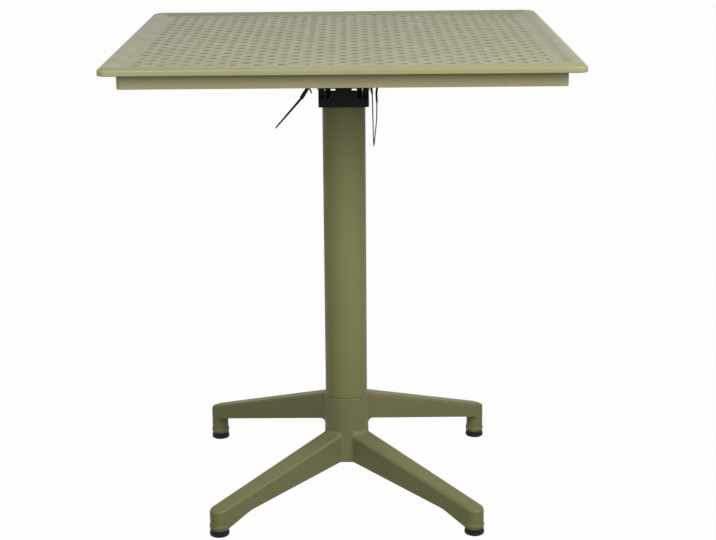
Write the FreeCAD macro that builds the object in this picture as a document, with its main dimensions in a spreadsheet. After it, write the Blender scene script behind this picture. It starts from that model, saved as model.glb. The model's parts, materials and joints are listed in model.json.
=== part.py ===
import FreeCAD, Part

# A bistro table: a square moulded top with drain holes, which tilts upright on a column,
# and a cast base of two low and two high legs, so that tables nest when their tops are tilted.
# The origin is on the floor under the column; +X is the table's right, +Y its back, +Z up.

import math
import operator
import os
from types import SimpleNamespace

import Sketcher
from FreeCAD import Placement, Rotation, Vector

doc = FreeCAD.newDocument("bistro_table")

# Driving dimensions, in millimetres and degrees
SIZES = {
    # Overall
    "table_height": 755.0,
    "top_width": 680.0,
    # Panel and lip of the top
    "top_corner_radius": 12.0,
    "lip_height": 12.0,
    "lip_thickness": 4.0,
    "lip_upper_round": 3.5,
    "lip_lower_round": 1.5,
    "rim_width": 21.0,
    "field_recess": 3.0,
    "rim_slope": 9.0,
    "sheet_thickness": 4.0,
    "hole_width": 9.0,
    "hole_pitch": 17.1,
    "hole_margin": 49.0,
    # Skirt, ribs and screw bosses under the panel
    "skirt_inset": 24.0,
    "skirt_drop": 22.0,
    "skirt_thickness": 3.0,
    "skirt_corner_radius": 6.0,
    "rib_depth": 13.2,
    "rib_thickness": 3.0,
    "boss_diameter": 16.0,
    "boss_drop": 4.0,
    # Tilt bracket under the top
    "plate_thickness": 4.0,
    "plate_width": 130.0,
    "plate_front": 55.0,
    "plate_back": 95.0,
    "plate_corner_radius": 8.0,
    "bracket_rise": 51.0,
    "lug_inset": 21.0,
    "lug_thickness": 7.2,
    "lug_toe": 32.0,
    "screw_diameter": 5.0,
    "screw_clearance": 0.25,
    "screw_head_diameter": 10.0,
    "screw_head_height": 3.0,
    "screw_grip": 12.0,
    # Hinge
    "hinge_setback": 12.0,
    "hinge_height": 16.0,
    "hinge_pin_diameter": 10.0,
    "running_clearance": 0.05,
    "fixed_clearance": 0.03,
    "stop_clearance": 0.3,
    "bush_wall": 2.0,
    "bush_flange": 2.5,
    "bush_flange_thickness": 1.2,
    "clip_wall": 3.0,
    "clip_thickness": 1.6,
    "pin_overhang": 3.0,
    # Latch
    "latch_width": 22.0,
    "latch_arm": 6.0,
    "latch_gap": 0.4,
    "latch_nose": 3.7,
    "latch_nose_slope": 1.5,
    "latch_nose_height": 5.0,
    "latch_pin_diameter": 8.0,
    "latch_pin_back": 8.0,
    "latch_pin_drop": 25.0,
    "latch_barrel_wall": 4.0,
    "latch_handle": 95.0,
    "latch_handle_height": 6.0,
    "latch_end_gap": 0.3,
    "spring_width": 12.0,
    "spring_thickness": 0.8,
    "spring_foot": 16.0,
    "spring_tip_back": 19.4,
    "spring_lip": 5.0,
    "spring_lip_rise": 3.0,
    "rivet_diameter": 4.0,
    "rivet_head": 7.0,
    "rivet_head_height": 1.5,
    # Cable ties
    "tie_width": 3.0,
    "tie_thickness": 1.1,
    "tie_head_width": 5.2,
    "tie_slot_width": 5.0,
    "tie_slot_inset": 4.5,
    "tie_slack": 0.6,
    # Column and the block at its head
    "column_diameter": 69.0,
    "column_wall": 2.0,
    "spigot_clearance": 0.3,
    "head_overhang": 5.5,
    "head_corner_radius": 5.0,
    "head_height": 14.0,
    "head_spigot": 35.0,
    "cheek_thickness": 9.5,
    "cheek_round": 14.0,
    "web_gap": 1.0,
    "web_thickness": 6.0,
    "web_height": 12.0,
    "web_boss_diameter": 13.0,
    "web_boss_rise": 5.5,
    "web_boss_proud": 2.0,
    "stop_pad_width": 26.0,
    "stop_pad_base": 8.0,
    "stop_pad_height": 22.0,
    "stop_pad_proud": 4.0,
    # Tie rod
    "rod_diameter": 10.0,
    "rod_clearance": 0.4,
    "thread_clearance": 0.02,
    "nut_across_flats": 17.0,
    "nut_height": 8.0,
    "washer_diameter": 21.0,
    "washer_thickness": 2.0,
    "rod_overhang": 3.0,
    # Hub of the base
    "seam_height": 156.0,
    "hub_flare": 3.5,
    "hub_chamfer": 1.2,
    "hub_spigot": 25.0,
    "hub_recess_diameter": 48.0,
    "hub_floor": 16.0,
    # Legs
    "front_foot_reach": 292.0,
    "back_foot_reach": 305.0,
    "front_leg_angle": 46.9,
    "back_leg_angle": 41.0,
    "leg_root_width": 38.0,
    "leg_end_width": 29.0,
    "leg_round": 5.5,
    "root_round": 8.0,
    "front_root_top": 94.4,
    "front_end_top": 45.3,
    "front_root_under": 46.8,
    "front_bend_under": 27.3,
    "front_bend_back": 54.0,
    "front_bend_round": 60.0,
    "front_heel_back": 4.0,
    "back_root_drop": 3.8,
    "back_end_top": 63.0,
    "back_root_under": 107.5,
    "back_end_under": 42.4,
    "back_heel_round": 15.0,
    "back_post_inset": 0.4,
    "channel_width": 18.0,
    "channel_roof": 8.0,
    "channel_start": 24.0,
    "channel_end": 11.0,
    "bead_flare": 1.2,
    "bead_height": 9.0,
    # Levelling feet
    "pad_diameter": 31.0,
    "pad_height": 10.5,
    "pad_lower_round": 2.5,
    "pad_upper_round": 1.0,
    "pad_gap": 0.3,
    "stud_diameter": 8.0,
    "stud_length": 34.0,
    "stud_socket": 7.0,
    "stud_clearance": 0.3,
    "stud_bore_spare": 2.0,
}

# Counts
RIB_STEP = 3
CROSS_RIB_STEP = 15
BOSS_COLUMN = 3
BOSS_ROW = 2

sheet = doc.addObject("Spreadsheet::Sheet", "Sizes")
for row, (alias, number) in enumerate(SIZES.items(), start=1):
    sheet.set(f"A{row}", alias)
    sheet.set(f"B{row}", str(number))
    sheet.setAlias(f"B{row}", alias)
doc.recompute()


class Size:
    """A length or an angle: its number, and the expression that ties it to the sheet."""

    OPERATORS = {"+": operator.add, "-": operator.sub, "*": operator.mul, "/": operator.truediv}

    def __init__(self, number, text):
        self.number = number
        self.text = text

    def join(self, sign, left, right):
        left, right = as_size(left), as_size(right)
        number = self.OPERATORS[sign](left.number, right.number)
        return Size(number, f"({left.text} {sign} {right.text})")

    def __add__(self, other):
        return self.join("+", self, other)

    def __radd__(self, other):
        return self.join("+", other, self)

    def __sub__(self, other):
        return self.join("-", self, other)

    def __rsub__(self, other):
        return self.join("-", other, self)

    def __mul__(self, other):
        return self.join("*", self, other)

    def __rmul__(self, other):
        return self.join("*", other, self)

    def __truediv__(self, other):
        return self.join("/", self, other)

    def __neg__(self):
        return self.join("*", -1, self)

    def cos(self):
        return Size(math.cos(math.radians(self.number)), f"cos({self.text})")

    def sin(self):
        return Size(math.sin(math.radians(self.number)), f"sin({self.text})")

    def atan(self):
        return Size(math.degrees(math.atan(self.number)), f"atan({self.text})")


def as_size(value):
    """A plain number as a Size of its own."""
    return value if isinstance(value, Size) else Size(float(value), f"({value})")


S = SimpleNamespace(**{alias: Size(sheet.get(alias), f"Sizes.{alias}") for alias in SIZES})
ZERO = as_size(0)

# Levels and faces that several pieces share
column_radius = S.column_diameter / 2
tube_bore_radius = column_radius - S.column_wall
top_half = S.top_width / 2
lip_bottom = S.table_height - S.lip_height
field_top = S.table_height - S.field_recess
panel_under = field_top - S.sheet_thickness
skirt_outer = top_half - S.skirt_inset
skirt_inner = skirt_outer - S.skirt_thickness
skirt_bottom = lip_bottom - S.skirt_drop
rib_bottom = panel_under - S.rib_depth
plate_top = rib_bottom - S.boss_drop
plate_under = plate_top - S.plate_thickness
hinge_z = plate_under - S.bracket_rise
hinge_y = -S.hinge_setback
head_top = hinge_z - S.hinge_height
column_top = head_top - S.head_height
head_half = column_radius + S.head_overhang
lug_outer = S.lug_inset + S.lug_thickness
pin_radius = S.hinge_pin_diameter / 2
bush_bore = pin_radius + S.running_clearance
bush_outer = bush_bore + S.bush_wall
web_half = S.lug_inset - S.web_gap
latch_pin_radius = S.latch_pin_diameter / 2
latch_y = head_half + S.latch_gap + S.latch_arm / 2 + S.latch_pin_back
latch_z = plate_under - S.latch_pin_drop
handle_end = latch_y + S.latch_handle
handle_top = latch_z + S.latch_handle_height / 2
rod_radius = S.rod_diameter / 2
rod_bore = rod_radius + S.rod_clearance
recess_top = S.seam_height - S.hub_floor
spigot_radius = tube_bore_radius - S.spigot_clearance
hub_bottom = S.front_root_under
hub_base = column_radius + S.hub_flare
hub_draft = S.hub_flare / (S.seam_height - hub_bottom)
hub_end = S.seam_height + S.hub_spigot
leg_bottom = S.pad_height + S.pad_gap
leg_end_radius = S.leg_end_width / 2
stud_radius = S.stud_diameter / 2
stud_floor = S.pad_height - S.stud_socket
stud_top = stud_floor + S.stud_length


def bind(item, prop, size):
    """Tie one property of a document object to the sheet."""
    item.setExpression(prop, as_size(size).text)


def place(item, x=ZERO, y=ZERO, z=ZERO):
    """Tie an object's position to the sheet."""
    for axis, size in zip("xyz", (x, y, z)):
        bind(item, f"Placement.Base.{axis}", size)
    return item


AXIS_TURN = {
    "X": Rotation(Vector(0, 1, 0), 90),
    "Y": Rotation(Vector(1, 0, 0), -90),
    "Z": Rotation(),
}


def cylinder(name, axis, radius, length, x=ZERO, y=ZERO, z=ZERO):
    """A cylinder whose lower end stands at x, y, z and whose length runs along an axis."""
    item = doc.addObject("Part::Cylinder", name)
    item.Placement = Placement(Vector(), AXIS_TURN[axis])
    bind(item, "Radius", radius)
    bind(item, "Height", length)
    return place(item, x, y, z)


def cut(name, base, tools):
    """A base less one or more tools."""
    item = doc.addObject("Part::Cut", name)
    item.Base = base
    item.Tool = tools[0] if len(tools) == 1 else fuse(f"{name}_tools", tools)
    item.Refine = True
    return item


def fuse(name, shapes):
    """Several shapes made into one solid."""
    item = doc.addObject("Part::MultiFuse", name)
    item.Shapes = shapes
    item.Refine = True
    return item


def group(name, shapes):
    """Separate solids that share one node."""
    item = doc.addObject("Part::Compound", name)
    item.Links = shapes
    return item


def ring(name, axis, inner, outer, length, x=ZERO, y=ZERO, z=ZERO):
    """A plain ring round an axis."""
    disc = cylinder(f"{name}_disc", axis, outer, length, x, y, z)
    bore = cylinder(f"{name}_bore", axis, inner, length, x, y, z)
    return cut(name, disc, [bore])


def new_body(name):
    """An empty body."""
    return doc.addObject("PartDesign::Body", name)


def origin_part(body, role):
    """One of a body's own planes or axes."""
    return next(item for item in body.Origin.OriginFeatures if item.Role == role)


def new_sketch(body, name, plane="XY_Plane", lift=None):
    """An empty sketch on one of the body's planes, raised along the plane's normal."""
    sketch = body.newObject("Sketcher::SketchObject", name)
    sketch.AttachmentSupport = (origin_part(body, plane), [""])
    sketch.MapMode = "FlatFace"
    if lift is not None:
        bind(sketch, "AttachmentOffset.Base.z", lift)
    return sketch


def constrain(sketch, kind, where, size):
    """One constraint, with its value tied to the sheet."""
    index = sketch.addConstraint(Sketcher.Constraint(kind, *where, as_size(size).number))
    bind(sketch, f"Constraints[{index}]", size)


ORIGIN_POINT = (-1, 1)
SKETCH_AXES = {"DistanceX": -2, "DistanceY": -1}


def pin_point(sketch, geometry, end, x, y):
    """Hold one point of a sketch at x, y from its origin."""
    for kind, size in (("DistanceX", x), ("DistanceY", y)):
        if size is ZERO:
            on_axis = Sketcher.Constraint("PointOnObject", geometry, end, SKETCH_AXES[kind])
            sketch.addConstraint(on_axis)
        else:
            constrain(sketch, kind, (*ORIGIN_POINT, geometry, end), size)


def arc_between(start, end, radius):
    """The arc that runs anticlockwise from start to end, under a half turn."""
    chord = end - start
    rise = math.sqrt(max(radius**2 - (chord.Length / 2) ** 2, 0.0))
    inward = Vector(-chord.y, chord.x, 0).normalize()
    centre = (start + end) * 0.5 + inward * rise
    angles = [math.atan2(p.y - centre.y, p.x - centre.x) for p in (start, end)]
    return Part.ArcOfCircle(Part.Circle(centre, Vector(0, 0, 1), radius), *angles)


def full_corner(x, y, radius=None):
    """A corner of an outline, with its radius where the side that leaves it is an arc."""
    return as_size(x), as_size(y), radius


def outline(sketch, corners):
    """A closed outline; a third value on a corner makes an arc of the side that leaves it.

    The corners go anticlockwise. A positive radius bulges outwards and a negative one inwards.
    """
    corners = [full_corner(*corner) for corner in corners]
    points = [Vector(x.number, y.number, 0) for x, y, _ in corners]
    first = sketch.GeometryCount
    ends = []
    for index, (x, y, radius) in enumerate(corners):
        start, finish = points[index], points[(index + 1) % len(points)]
        if radius is None:
            sketch.addGeometry(Part.LineSegment(start, finish), False)
            ends.append((1, 2))
        elif radius.number > 0:
            sketch.addGeometry(arc_between(start, finish, radius.number), False)
            ends.append((1, 2))
        else:
            sketch.addGeometry(arc_between(finish, start, -radius.number), False)
            ends.append((2, 1))
    for index, (x, y, radius) in enumerate(corners):
        before = (index - 1) % len(corners)
        joint = (first + before, ends[before][1], first + index, ends[index][0])
        sketch.addConstraint(Sketcher.Constraint("Coincident", *joint))
        pin_point(sketch, first + index, ends[index][0], x, y)
        if radius is not None:
            constrain(sketch, "Radius", (first + index,), radius if radius.number > 0 else -radius)


def circle(sketch, x, y, radius):
    """A circle held at x, y."""
    centre = Vector(x.number, y.number, 0)
    index = sketch.addGeometry(Part.Circle(centre, Vector(0, 0, 1), radius.number), False)
    pin_point(sketch, index, 3, x, y)
    constrain(sketch, "Radius", (index,), radius)


def rectangle(sketch, left, right, low, high, radius=None):
    """An upright rectangle, with rounded corners where a radius is given."""
    if radius is None:
        outline(sketch, [(left, low), (right, low), (right, high), (left, high)])
        return
    outline(
        sketch,
        [
            (left + radius, low),
            (right - radius, low, radius),
            (right, low + radius),
            (right, high - radius, radius),
            (right - radius, high),
            (left + radius, high, radius),
            (left, high - radius),
            (left, low + radius, radius),
        ],
    )


def square(sketch, half, radius=None):
    """A square about the sketch's origin."""
    rectangle(sketch, -half, half, -half, half, radius)


def feature(body, kind, name, sketch, length=None, reverse=False, symmetric=False):
    """A pad or a pocket; one with no length goes right through."""
    item = body.newObject(f"PartDesign::{kind}", name)
    item.Profile = sketch
    if length is None:
        item.Type = "ThroughAll"
    else:
        bind(item, "Length", length)
    item.Reversed = reverse
    if symmetric:
        item.SideType = "Symmetric"
    return item


def pad(body, name, sketch, length, **options):
    """Material of a length added to a body."""
    return feature(body, "Pad", name, sketch, length, **options)


def pocket(body, name, sketch, length=None, **options):
    """Material taken from a body."""
    return feature(body, "Pocket", name, sketch, length, **options)


def revolve(body, name, sketch):
    """The sketch turned once round its upright axis."""
    item = body.newObject("PartDesign::Revolution", name)
    item.Profile = sketch
    item.ReferenceAxis = (sketch, ["V_Axis"])
    item.Angle = 360
    return item


def mirror(body, name, features, plane="YZ_Plane"):
    """Features of a body repeated on the other side of one of its planes."""
    item = body.newObject("PartDesign::Mirrored", name)
    item.Originals = features
    item.MirrorPlane = (origin_part(body, plane), [""])
    body.Tip = item
    return item


def row_pattern(body, name, features, axis, length, count):
    """Features of a body repeated along one of its axes, over a length in all."""
    item = body.newObject("PartDesign::LinearPattern", name)
    item.Originals = features
    item.Direction = (origin_part(body, axis), [""])
    bind(item, "Length", length)
    item.Occurrences = count
    body.Tip = item
    return item


def round_edges(body, name, base, radius, chosen):
    """Fillet the edges of a feature that a test picks out."""
    doc.recompute()
    names = [f"Edge{i}" for i, edge in enumerate(base.Shape.Edges, start=1) if chosen(edge)]
    item = body.newObject("PartDesign::Fillet", name)
    item.Base = (base, names)
    bind(item, "Radius", radius)
    return item


def lies_at(edge, axis, level):
    """Whether an edge lies wholly at one level along an axis."""
    low, high = getattr(edge.BoundBox, f"{axis}Min"), getattr(edge.BoundBox, f"{axis}Max")
    return abs(low - level.number) < 1e-4 and abs(high - level.number) < 1e-4


# Panel of the top


def make_drain_holes():
    """Square prisms for the drain holes: every other crossing of a grid that is centred on the top."""
    pitch, half = S.hole_pitch.number, S.hole_width.number / 2
    reach = int((top_half - S.hole_margin).number / pitch + 1e-6)
    depth = S.sheet_thickness.number + S.lip_height.number
    low = lip_bottom.number
    steps = range(-reach, reach + 1)
    prisms = [
        Part.makeBox(2 * half, 2 * half, depth, Vector(i * pitch - half, j * pitch - half, low))
        for i in steps
        for j in steps
        if (i + j - 2 * reach) % 2 == 0
    ]
    holes = doc.addObject("Part::Feature", "drain_holes")
    holes.Shape = Part.makeCompound(prisms)
    return holes


def make_table_top():
    """A sheet with a lip round it, a field that a slope sinks inside the rim, and drain holes."""
    body = new_body("top_moulding")
    edge = new_sketch(body, "top_edge", lift=lip_bottom)
    square(edge, top_half, S.top_corner_radius)
    pad(body, "top_slab", edge, S.lip_height)
    inside = new_sketch(body, "lip_inside", lift=lip_bottom)
    square(inside, top_half - S.lip_thickness, S.top_corner_radius - S.lip_thickness)
    pocket(body, "lip_hollow", inside, panel_under - lip_bottom, reverse=True)
    field = new_sketch(body, "field_edge", lift=S.table_height)
    square(field, top_half - S.rim_width)
    sunk = pocket(body, "field_sunk", field, S.field_recess)
    bind(sunk, "TaperAngle", -(S.rim_slope / S.field_recess).atan())
    upper = round_edges(body, "lip_upper", sunk, S.lip_upper_round, is_outer_at(S.table_height))
    round_edges(body, "lip_lower", upper, S.lip_lower_round, is_outer_at(lip_bottom))
    return cut("table_top", body, [make_drain_holes()])


def is_outer_at(level):
    """A test for the edges of the top's outer wall at one level."""

    def chosen(edge):
        box = edge.BoundBox
        reach = max(abs(box.XMin), abs(box.XMax), abs(box.YMin), abs(box.YMax))
        return lies_at(edge, "Z", level) and abs(reach - top_half.number) < 1e-4

    return chosen


# Skirt and ribs


def make_top_skirt():
    """The upright wall set in under the lip."""
    body = new_body("top_skirt")
    wall = new_sketch(body, "skirt_wall", lift=skirt_bottom)
    square(wall, skirt_outer, S.skirt_corner_radius)
    square(wall, skirt_inner, S.skirt_corner_radius - S.skirt_thickness)
    pad(body, "skirt", wall, panel_under - skirt_bottom)
    return body


def rib_count(step):
    """How many ribs fit on each side of the middle, midway between the rows of holes."""
    rows_inside = skirt_inner.number / S.hole_pitch.number - 1
    return int((rows_inside - step / 2) // step) + 1


def make_rib_row(body, name, along_x, step):
    """A row of equal ribs across the skirt, clear of the drain holes."""
    count = rib_count(step)
    first = -S.hole_pitch * (step / 2 + step * (count - 1))
    sides = [(first - S.rib_thickness / 2, first + S.rib_thickness / 2), (-skirt_inner, skirt_inner)]
    (left, right), (low, high) = sides if along_x else reversed(sides)
    sketch = new_sketch(body, f"{name}_edge", lift=rib_bottom)
    rectangle(sketch, left, right, low, high)
    rib = pad(body, f"{name}_first", sketch, S.rib_depth)
    row_pattern(body, name, [rib], "X_Axis" if along_x else "Y_Axis", -2 * first, 2 * count)


def boss_places():
    """Centres of the screw bosses: crossings of the grid that have no hole."""
    x, y = S.hole_pitch * BOSS_COLUMN, S.hole_pitch * BOSS_ROW
    return [(side_x * x, side_y * y) for side_x in (-1, 1) for side_y in (-1, 1)]


def brace_corners(step_x, step_y, half_height):
    """A diagonal brace through a boss, from the rib on one side of it to the rib on the other."""
    near, far = BOSS_COLUMN - RIB_STEP / 2, BOSS_COLUMN + RIB_STEP / 2
    high, low = step_y * (BOSS_ROW + RIB_STEP / 2), step_y * (BOSS_ROW - RIB_STEP / 2)
    return [
        (step_x * near, high - half_height),
        (step_x * far, low - half_height),
        (step_x * far, low + half_height),
        (step_x * near, high + half_height),
    ]


def make_top_ribs():
    """Ribs that stiffen the panel, and four bosses that take the bracket's screws."""
    body = new_body("top_ribs")
    make_rib_row(body, "ribs", True, RIB_STEP)
    make_rib_row(body, "cross_ribs", False, CROSS_RIB_STEP)
    braces = new_sketch(body, "boss_braces", lift=rib_bottom)
    half_height = S.rib_thickness / 2**0.5
    for side_x, side_y in ((-1, -1), (-1, 1), (1, -1), (1, 1)):
        outline(braces, brace_corners(side_x * S.hole_pitch, side_y * S.hole_pitch, half_height))
    pad(body, "braces", braces, S.rib_depth)
    ends = new_sketch(body, "boss_ends", lift=plate_top)
    pilots = new_sketch(body, "boss_pilots", lift=plate_top)
    for x, y in boss_places():
        circle(ends, x, y, S.boss_diameter / 2)
        circle(pilots, x, y, S.screw_diameter / 2 + S.thread_clearance)
    pad(body, "bosses", ends, panel_under - plate_top)
    pocket(body, "pilot_holes", pilots, S.screw_grip, reverse=True)
    return body


# Tilt bracket

rivet_y = S.plate_back - S.spring_foot / 2

# Each cable tie hangs in a plane across the table: the points, out from the middle and down from
# the plate, are the head's upper and lower end, a place on the tail and the tail's tip. A tail
# that is twisted shows its flat side to the front.
TIES = {
    "cable_tie_left": SimpleNamespace(
        side=-1, y=6.0, twisted=True, points=((63.0, 60.8), (68.5, 70.3), (88.0, 94.8), (112.0, 123.8))
    ),
    "cable_tie_right_front": SimpleNamespace(
        side=1, y=2.0, twisted=False, points=((44.3, 56.8), (45.6, 66.8), (47.7, 108.8), (48.0, 153.8))
    ),
    "cable_tie_right_rear": SimpleNamespace(
        side=1, y=9.0, twisted=False, points=((53.0, 68.3), (53.0, 79.8), (52.0, 108.8), (48.6, 155.8))
    ),
}


def lug_profile(sketch):
    """A lug from the plate down: round about the hinge in front and below, flat where it rests."""
    cam = S.hinge_height - S.stop_clearance
    nose = latch_pin_radius + S.latch_barrel_wall
    outline(
        sketch,
        [
            (hinge_y, hinge_z - cam),
            (hinge_y + S.lug_toe, hinge_z - cam),
            (latch_y - nose, latch_z - nose),
            (latch_y + nose, latch_z - nose),
            (latch_y + nose, plate_under),
            (hinge_y - cam, plate_under),
            (hinge_y - cam, hinge_z, cam),
        ],
    )


def make_tilt_bracket():
    """A plate under the top with two lugs that turn on the hinge pin and carry the latch."""
    body = new_body("tilt_bracket")
    half = S.plate_width / 2
    edge = new_sketch(body, "plate_edge", lift=plate_under)
    rectangle(edge, -half, half, -S.plate_front, S.plate_back, S.plate_corner_radius)
    pad(body, "plate", edge, S.plate_thickness)
    side = new_sketch(body, "lug_side", "YZ_Plane", lift=S.lug_inset)
    lug_profile(side)
    lug = pad(body, "lug", side, S.lug_thickness)
    mirror(body, "lugs", [lug])
    bores = new_sketch(body, "lug_bores", "YZ_Plane", lift=-head_half)
    circle(bores, hinge_y, hinge_z, bush_outer + S.fixed_clearance)
    circle(bores, latch_y, latch_z, latch_pin_radius + S.fixed_clearance)
    pocket(body, "bores", bores, 2 * head_half, reverse=True)
    openings = new_sketch(body, "plate_openings", lift=plate_under)
    for x, y in boss_places():
        circle(openings, x, y, S.screw_diameter / 2 + S.screw_clearance)
    circle(openings, ZERO, rivet_y, S.rivet_diameter / 2 + S.fixed_clearance)
    pocket(body, "plate_holes", openings, S.plate_thickness, reverse=True)
    slots = new_sketch(body, "tie_slots", lift=plate_under)
    for tie in TIES.values():
        outer = tie.side * (half - S.tie_slot_inset)
        inner = tie.side * (half - S.tie_slot_inset - S.tie_slot_width)
        left, right = (inner, outer) if tie.side > 0 else (outer, inner)
        reach = S.tie_width / 2 + S.tie_slack
        rectangle(slots, left, right, tie.y - reach, tie.y + reach)
    pocket(body, "tie_openings", slots, S.plate_thickness, reverse=True)
    return body


def make_bracket_screws():
    """Pan-headed screws up through the plate into the bosses."""
    screws = []
    head_radius, head_height = S.screw_head_diameter / 2, S.screw_head_height
    shank_radius, shank_length = S.screw_diameter / 2, S.plate_thickness + S.screw_grip
    for number, (x, y) in enumerate(boss_places(), start=1):
        head_z = plate_under - head_height
        head = cylinder(f"screw_head_{number}", "Z", head_radius, head_height, x, y, head_z)
        shank = cylinder(f"screw_shank_{number}", "Z", shank_radius, shank_length, x, y, plate_under)
        screws.append(fuse(f"screw_{number}", [head, shank]))
    return group("bracket_screws", screws)


# Hinge


def make_hinge_bushes():
    """A flanged bush in each lug, with its flange between the lug and the cheek."""
    bushes = []
    thickness = S.bush_flange_thickness
    for side in (-1, 1):
        start, flange_start = (S.lug_inset, lug_outer) if side > 0 else (-lug_outer, -lug_outer - thickness)
        rounds = [
            ("barrel", bush_outer, S.lug_thickness, start),
            ("flange", bush_outer + S.bush_flange, thickness, flange_start),
            ("bore", bush_bore, 2 * head_half, -head_half),
        ]
        barrel, flange, bore = (
            cylinder(f"bush_{part}_{side}", "X", radius, length, x, hinge_y, hinge_z)
            for part, radius, length, x in rounds
        )
        bushes.append(cut(f"bush_{side}", fuse(f"bush_solid_{side}", [barrel, flange]), [bore]))
    return group("hinge_bushes", bushes)


def make_pin(name, radius, half_length, y, z):
    """A plain cross pin, centred on the table's middle."""
    return cylinder(name, "X", radius, 2 * half_length, -half_length, y, z)


def make_clips(name, radius, start, y, z):
    """A retaining ring on each end of a cross pin."""
    rings = []
    for side in (-1, 1):
        low = start if side > 0 else -start - S.clip_thickness
        inner, outer = radius + S.thread_clearance, radius + S.clip_wall
        rings.append(ring(f"{name}_{side}", "X", inner, outer, S.clip_thickness, low, y, z))
    return group(name, rings)


# Latch


def make_latch_lever():
    """A bent lever: a hook under the head block, an arm up to the pin, and a handle to the back."""
    body = new_body("latch_lever")
    arm_front = head_half + S.latch_gap
    arm_back = arm_front + S.latch_arm
    hook_top = column_top - S.latch_gap
    hook_bottom = hook_top - S.latch_nose_height
    handle_low = handle_top - S.latch_handle_height
    nose = head_half - S.latch_nose
    side = new_sketch(body, "lever_side", "YZ_Plane")
    outline(
        side,
        [
            (nose, hook_top),
            (nose + S.latch_nose_slope, hook_bottom),
            (arm_back, hook_bottom),
            (arm_back, handle_low),
            (handle_end, handle_low),
            (handle_end, handle_top),
            (arm_front, handle_top),
            (arm_front, hook_top),
        ],
    )
    pad(body, "lever_bar", side, S.latch_width, symmetric=True)
    barrel_end = new_sketch(body, "barrel_end", "YZ_Plane")
    circle(barrel_end, latch_y, latch_z, latch_pin_radius + S.latch_barrel_wall)
    pad(body, "barrel", barrel_end, 2 * (S.lug_inset - S.latch_end_gap), symmetric=True)
    bore = new_sketch(body, "barrel_bore", "YZ_Plane", lift=-head_half)
    circle(bore, latch_y, latch_z, latch_pin_radius + S.running_clearance)
    pocket(body, "pin_bore", bore, 2 * head_half, reverse=True)
    return body


def make_latch_spring():
    """A leaf under the plate that bends down onto the latch's handle."""
    body = new_body("latch_spring")
    thick = S.spring_thickness
    foot_start = S.plate_back - S.spring_foot
    tip_y = handle_end - S.spring_tip_back
    lip_y, lip_z = tip_y + S.spring_lip, handle_top + S.spring_lip_rise
    side = new_sketch(body, "leaf_side", "YZ_Plane")
    outline(
        side,
        [
            (foot_start, plate_under - thick),
            (S.plate_back, plate_under - thick),
            (tip_y, handle_top),
            (lip_y, lip_z),
            (lip_y, lip_z + thick),
            (tip_y, handle_top + thick),
            (S.plate_back + thick, plate_under),
            (foot_start, plate_under),
        ],
    )
    pad(body, "leaf", side, S.spring_width, symmetric=True)
    hole = new_sketch(body, "leaf_hole", lift=plate_under)
    circle(hole, ZERO, rivet_y, S.rivet_diameter / 2 + S.fixed_clearance)
    pocket(body, "rivet_hole", hole, 2 * thick)
    return body


def make_spring_rivet():
    """The rivet that holds the leaf to the plate, with a head on each side."""
    under = plate_under - S.spring_thickness
    length = S.plate_thickness + S.spring_thickness
    shank = cylinder("rivet_shank", "Z", S.rivet_diameter / 2, length, ZERO, rivet_y, under)
    heads = [
        cylinder(f"rivet_{end}", "Z", S.rivet_head / 2, S.rivet_head_height, ZERO, rivet_y, z)
        for end, z in (("lower", under - S.rivet_head_height), ("upper", plate_top))
    ]
    return fuse("spring_rivet", [shank, *heads])


# Cable ties


def bar(start, end, width):
    """A square bar between two points in a plane across the table."""
    across = (end - start).cross(Vector(0, 1, 0)).normalize() * (width / 2)
    corners = [start - across, end - across, end + across, start + across]
    side = Part.Face(Part.makePolygon([*corners, corners[0]]))
    return side.translated(Vector(0, -width / 2, 0)).extrude(Vector(0, width, 0))


def make_cable_tie(name):
    """A tie looped round the plate's edge through a slot, with its head below and its tail hanging."""
    tie = TIES[name]
    half, width = S.plate_width.number / 2, S.tie_width.number
    slack, thick = S.tie_slack.number, S.tie_thickness.number
    slot_x, edge_x = half - S.tie_slot_inset.number - slack - thick, half + slack
    rise = S.plate_thickness.number + slack
    (head_x, head_drop), *_ = tie.points
    ring_points = [(slot_x, -rise), (edge_x, -rise), (edge_x, 0), (head_x + thick, head_drop)]
    ring_points += [(head_x - thick, head_drop), (slot_x, 0)]

    def at(x, drop):
        return Vector(tie.side * x, tie.y, plate_under.number - drop)

    inside = [at(*point) - Vector(0, width / 2, 0) for point in ring_points]
    eye = Part.makePolygon(inside + inside[:1])
    loop = Part.Face(eye.makeOffset2D(thick)).cut(Part.Face(eye)).Faces[0].extrude(Vector(0, width, 0))
    head = bar(at(*tie.points[0]), at(*tie.points[1]), S.tie_head_width.number)
    across, deep = (width, thick) if tie.twisted else (thick, width)
    line = Part.makePolygon([at(*point) - Vector(0, deep / 2, 0) for point in tie.points[1:]])
    tail = Part.Face(line.makeOffset2D(across / 2)).extrude(Vector(0, deep, 0))
    item = doc.addObject("Part::Feature", name)
    item.Shape = loop.fuse([head, tail]).removeSplitter()
    return item


# Column and its head


def make_column_tube():
    """The tube from the base's seam to the head."""
    length = column_top - S.seam_height
    return ring("column_tube", "Z", tube_bore_radius, column_radius, length, z=S.seam_height)


def cheek_profile(sketch):
    """A cheek that rises from the block and is round about the hinge pin."""
    radius = S.cheek_round
    outline(
        sketch,
        [
            (hinge_y - radius, head_top - S.head_height / 2),
            (hinge_y + radius, head_top - S.head_height / 2),
            (hinge_y + radius, hinge_z, radius),
            (hinge_y, hinge_z + radius, radius),
            (hinge_y - radius, hinge_z),
        ],
    )


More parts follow.
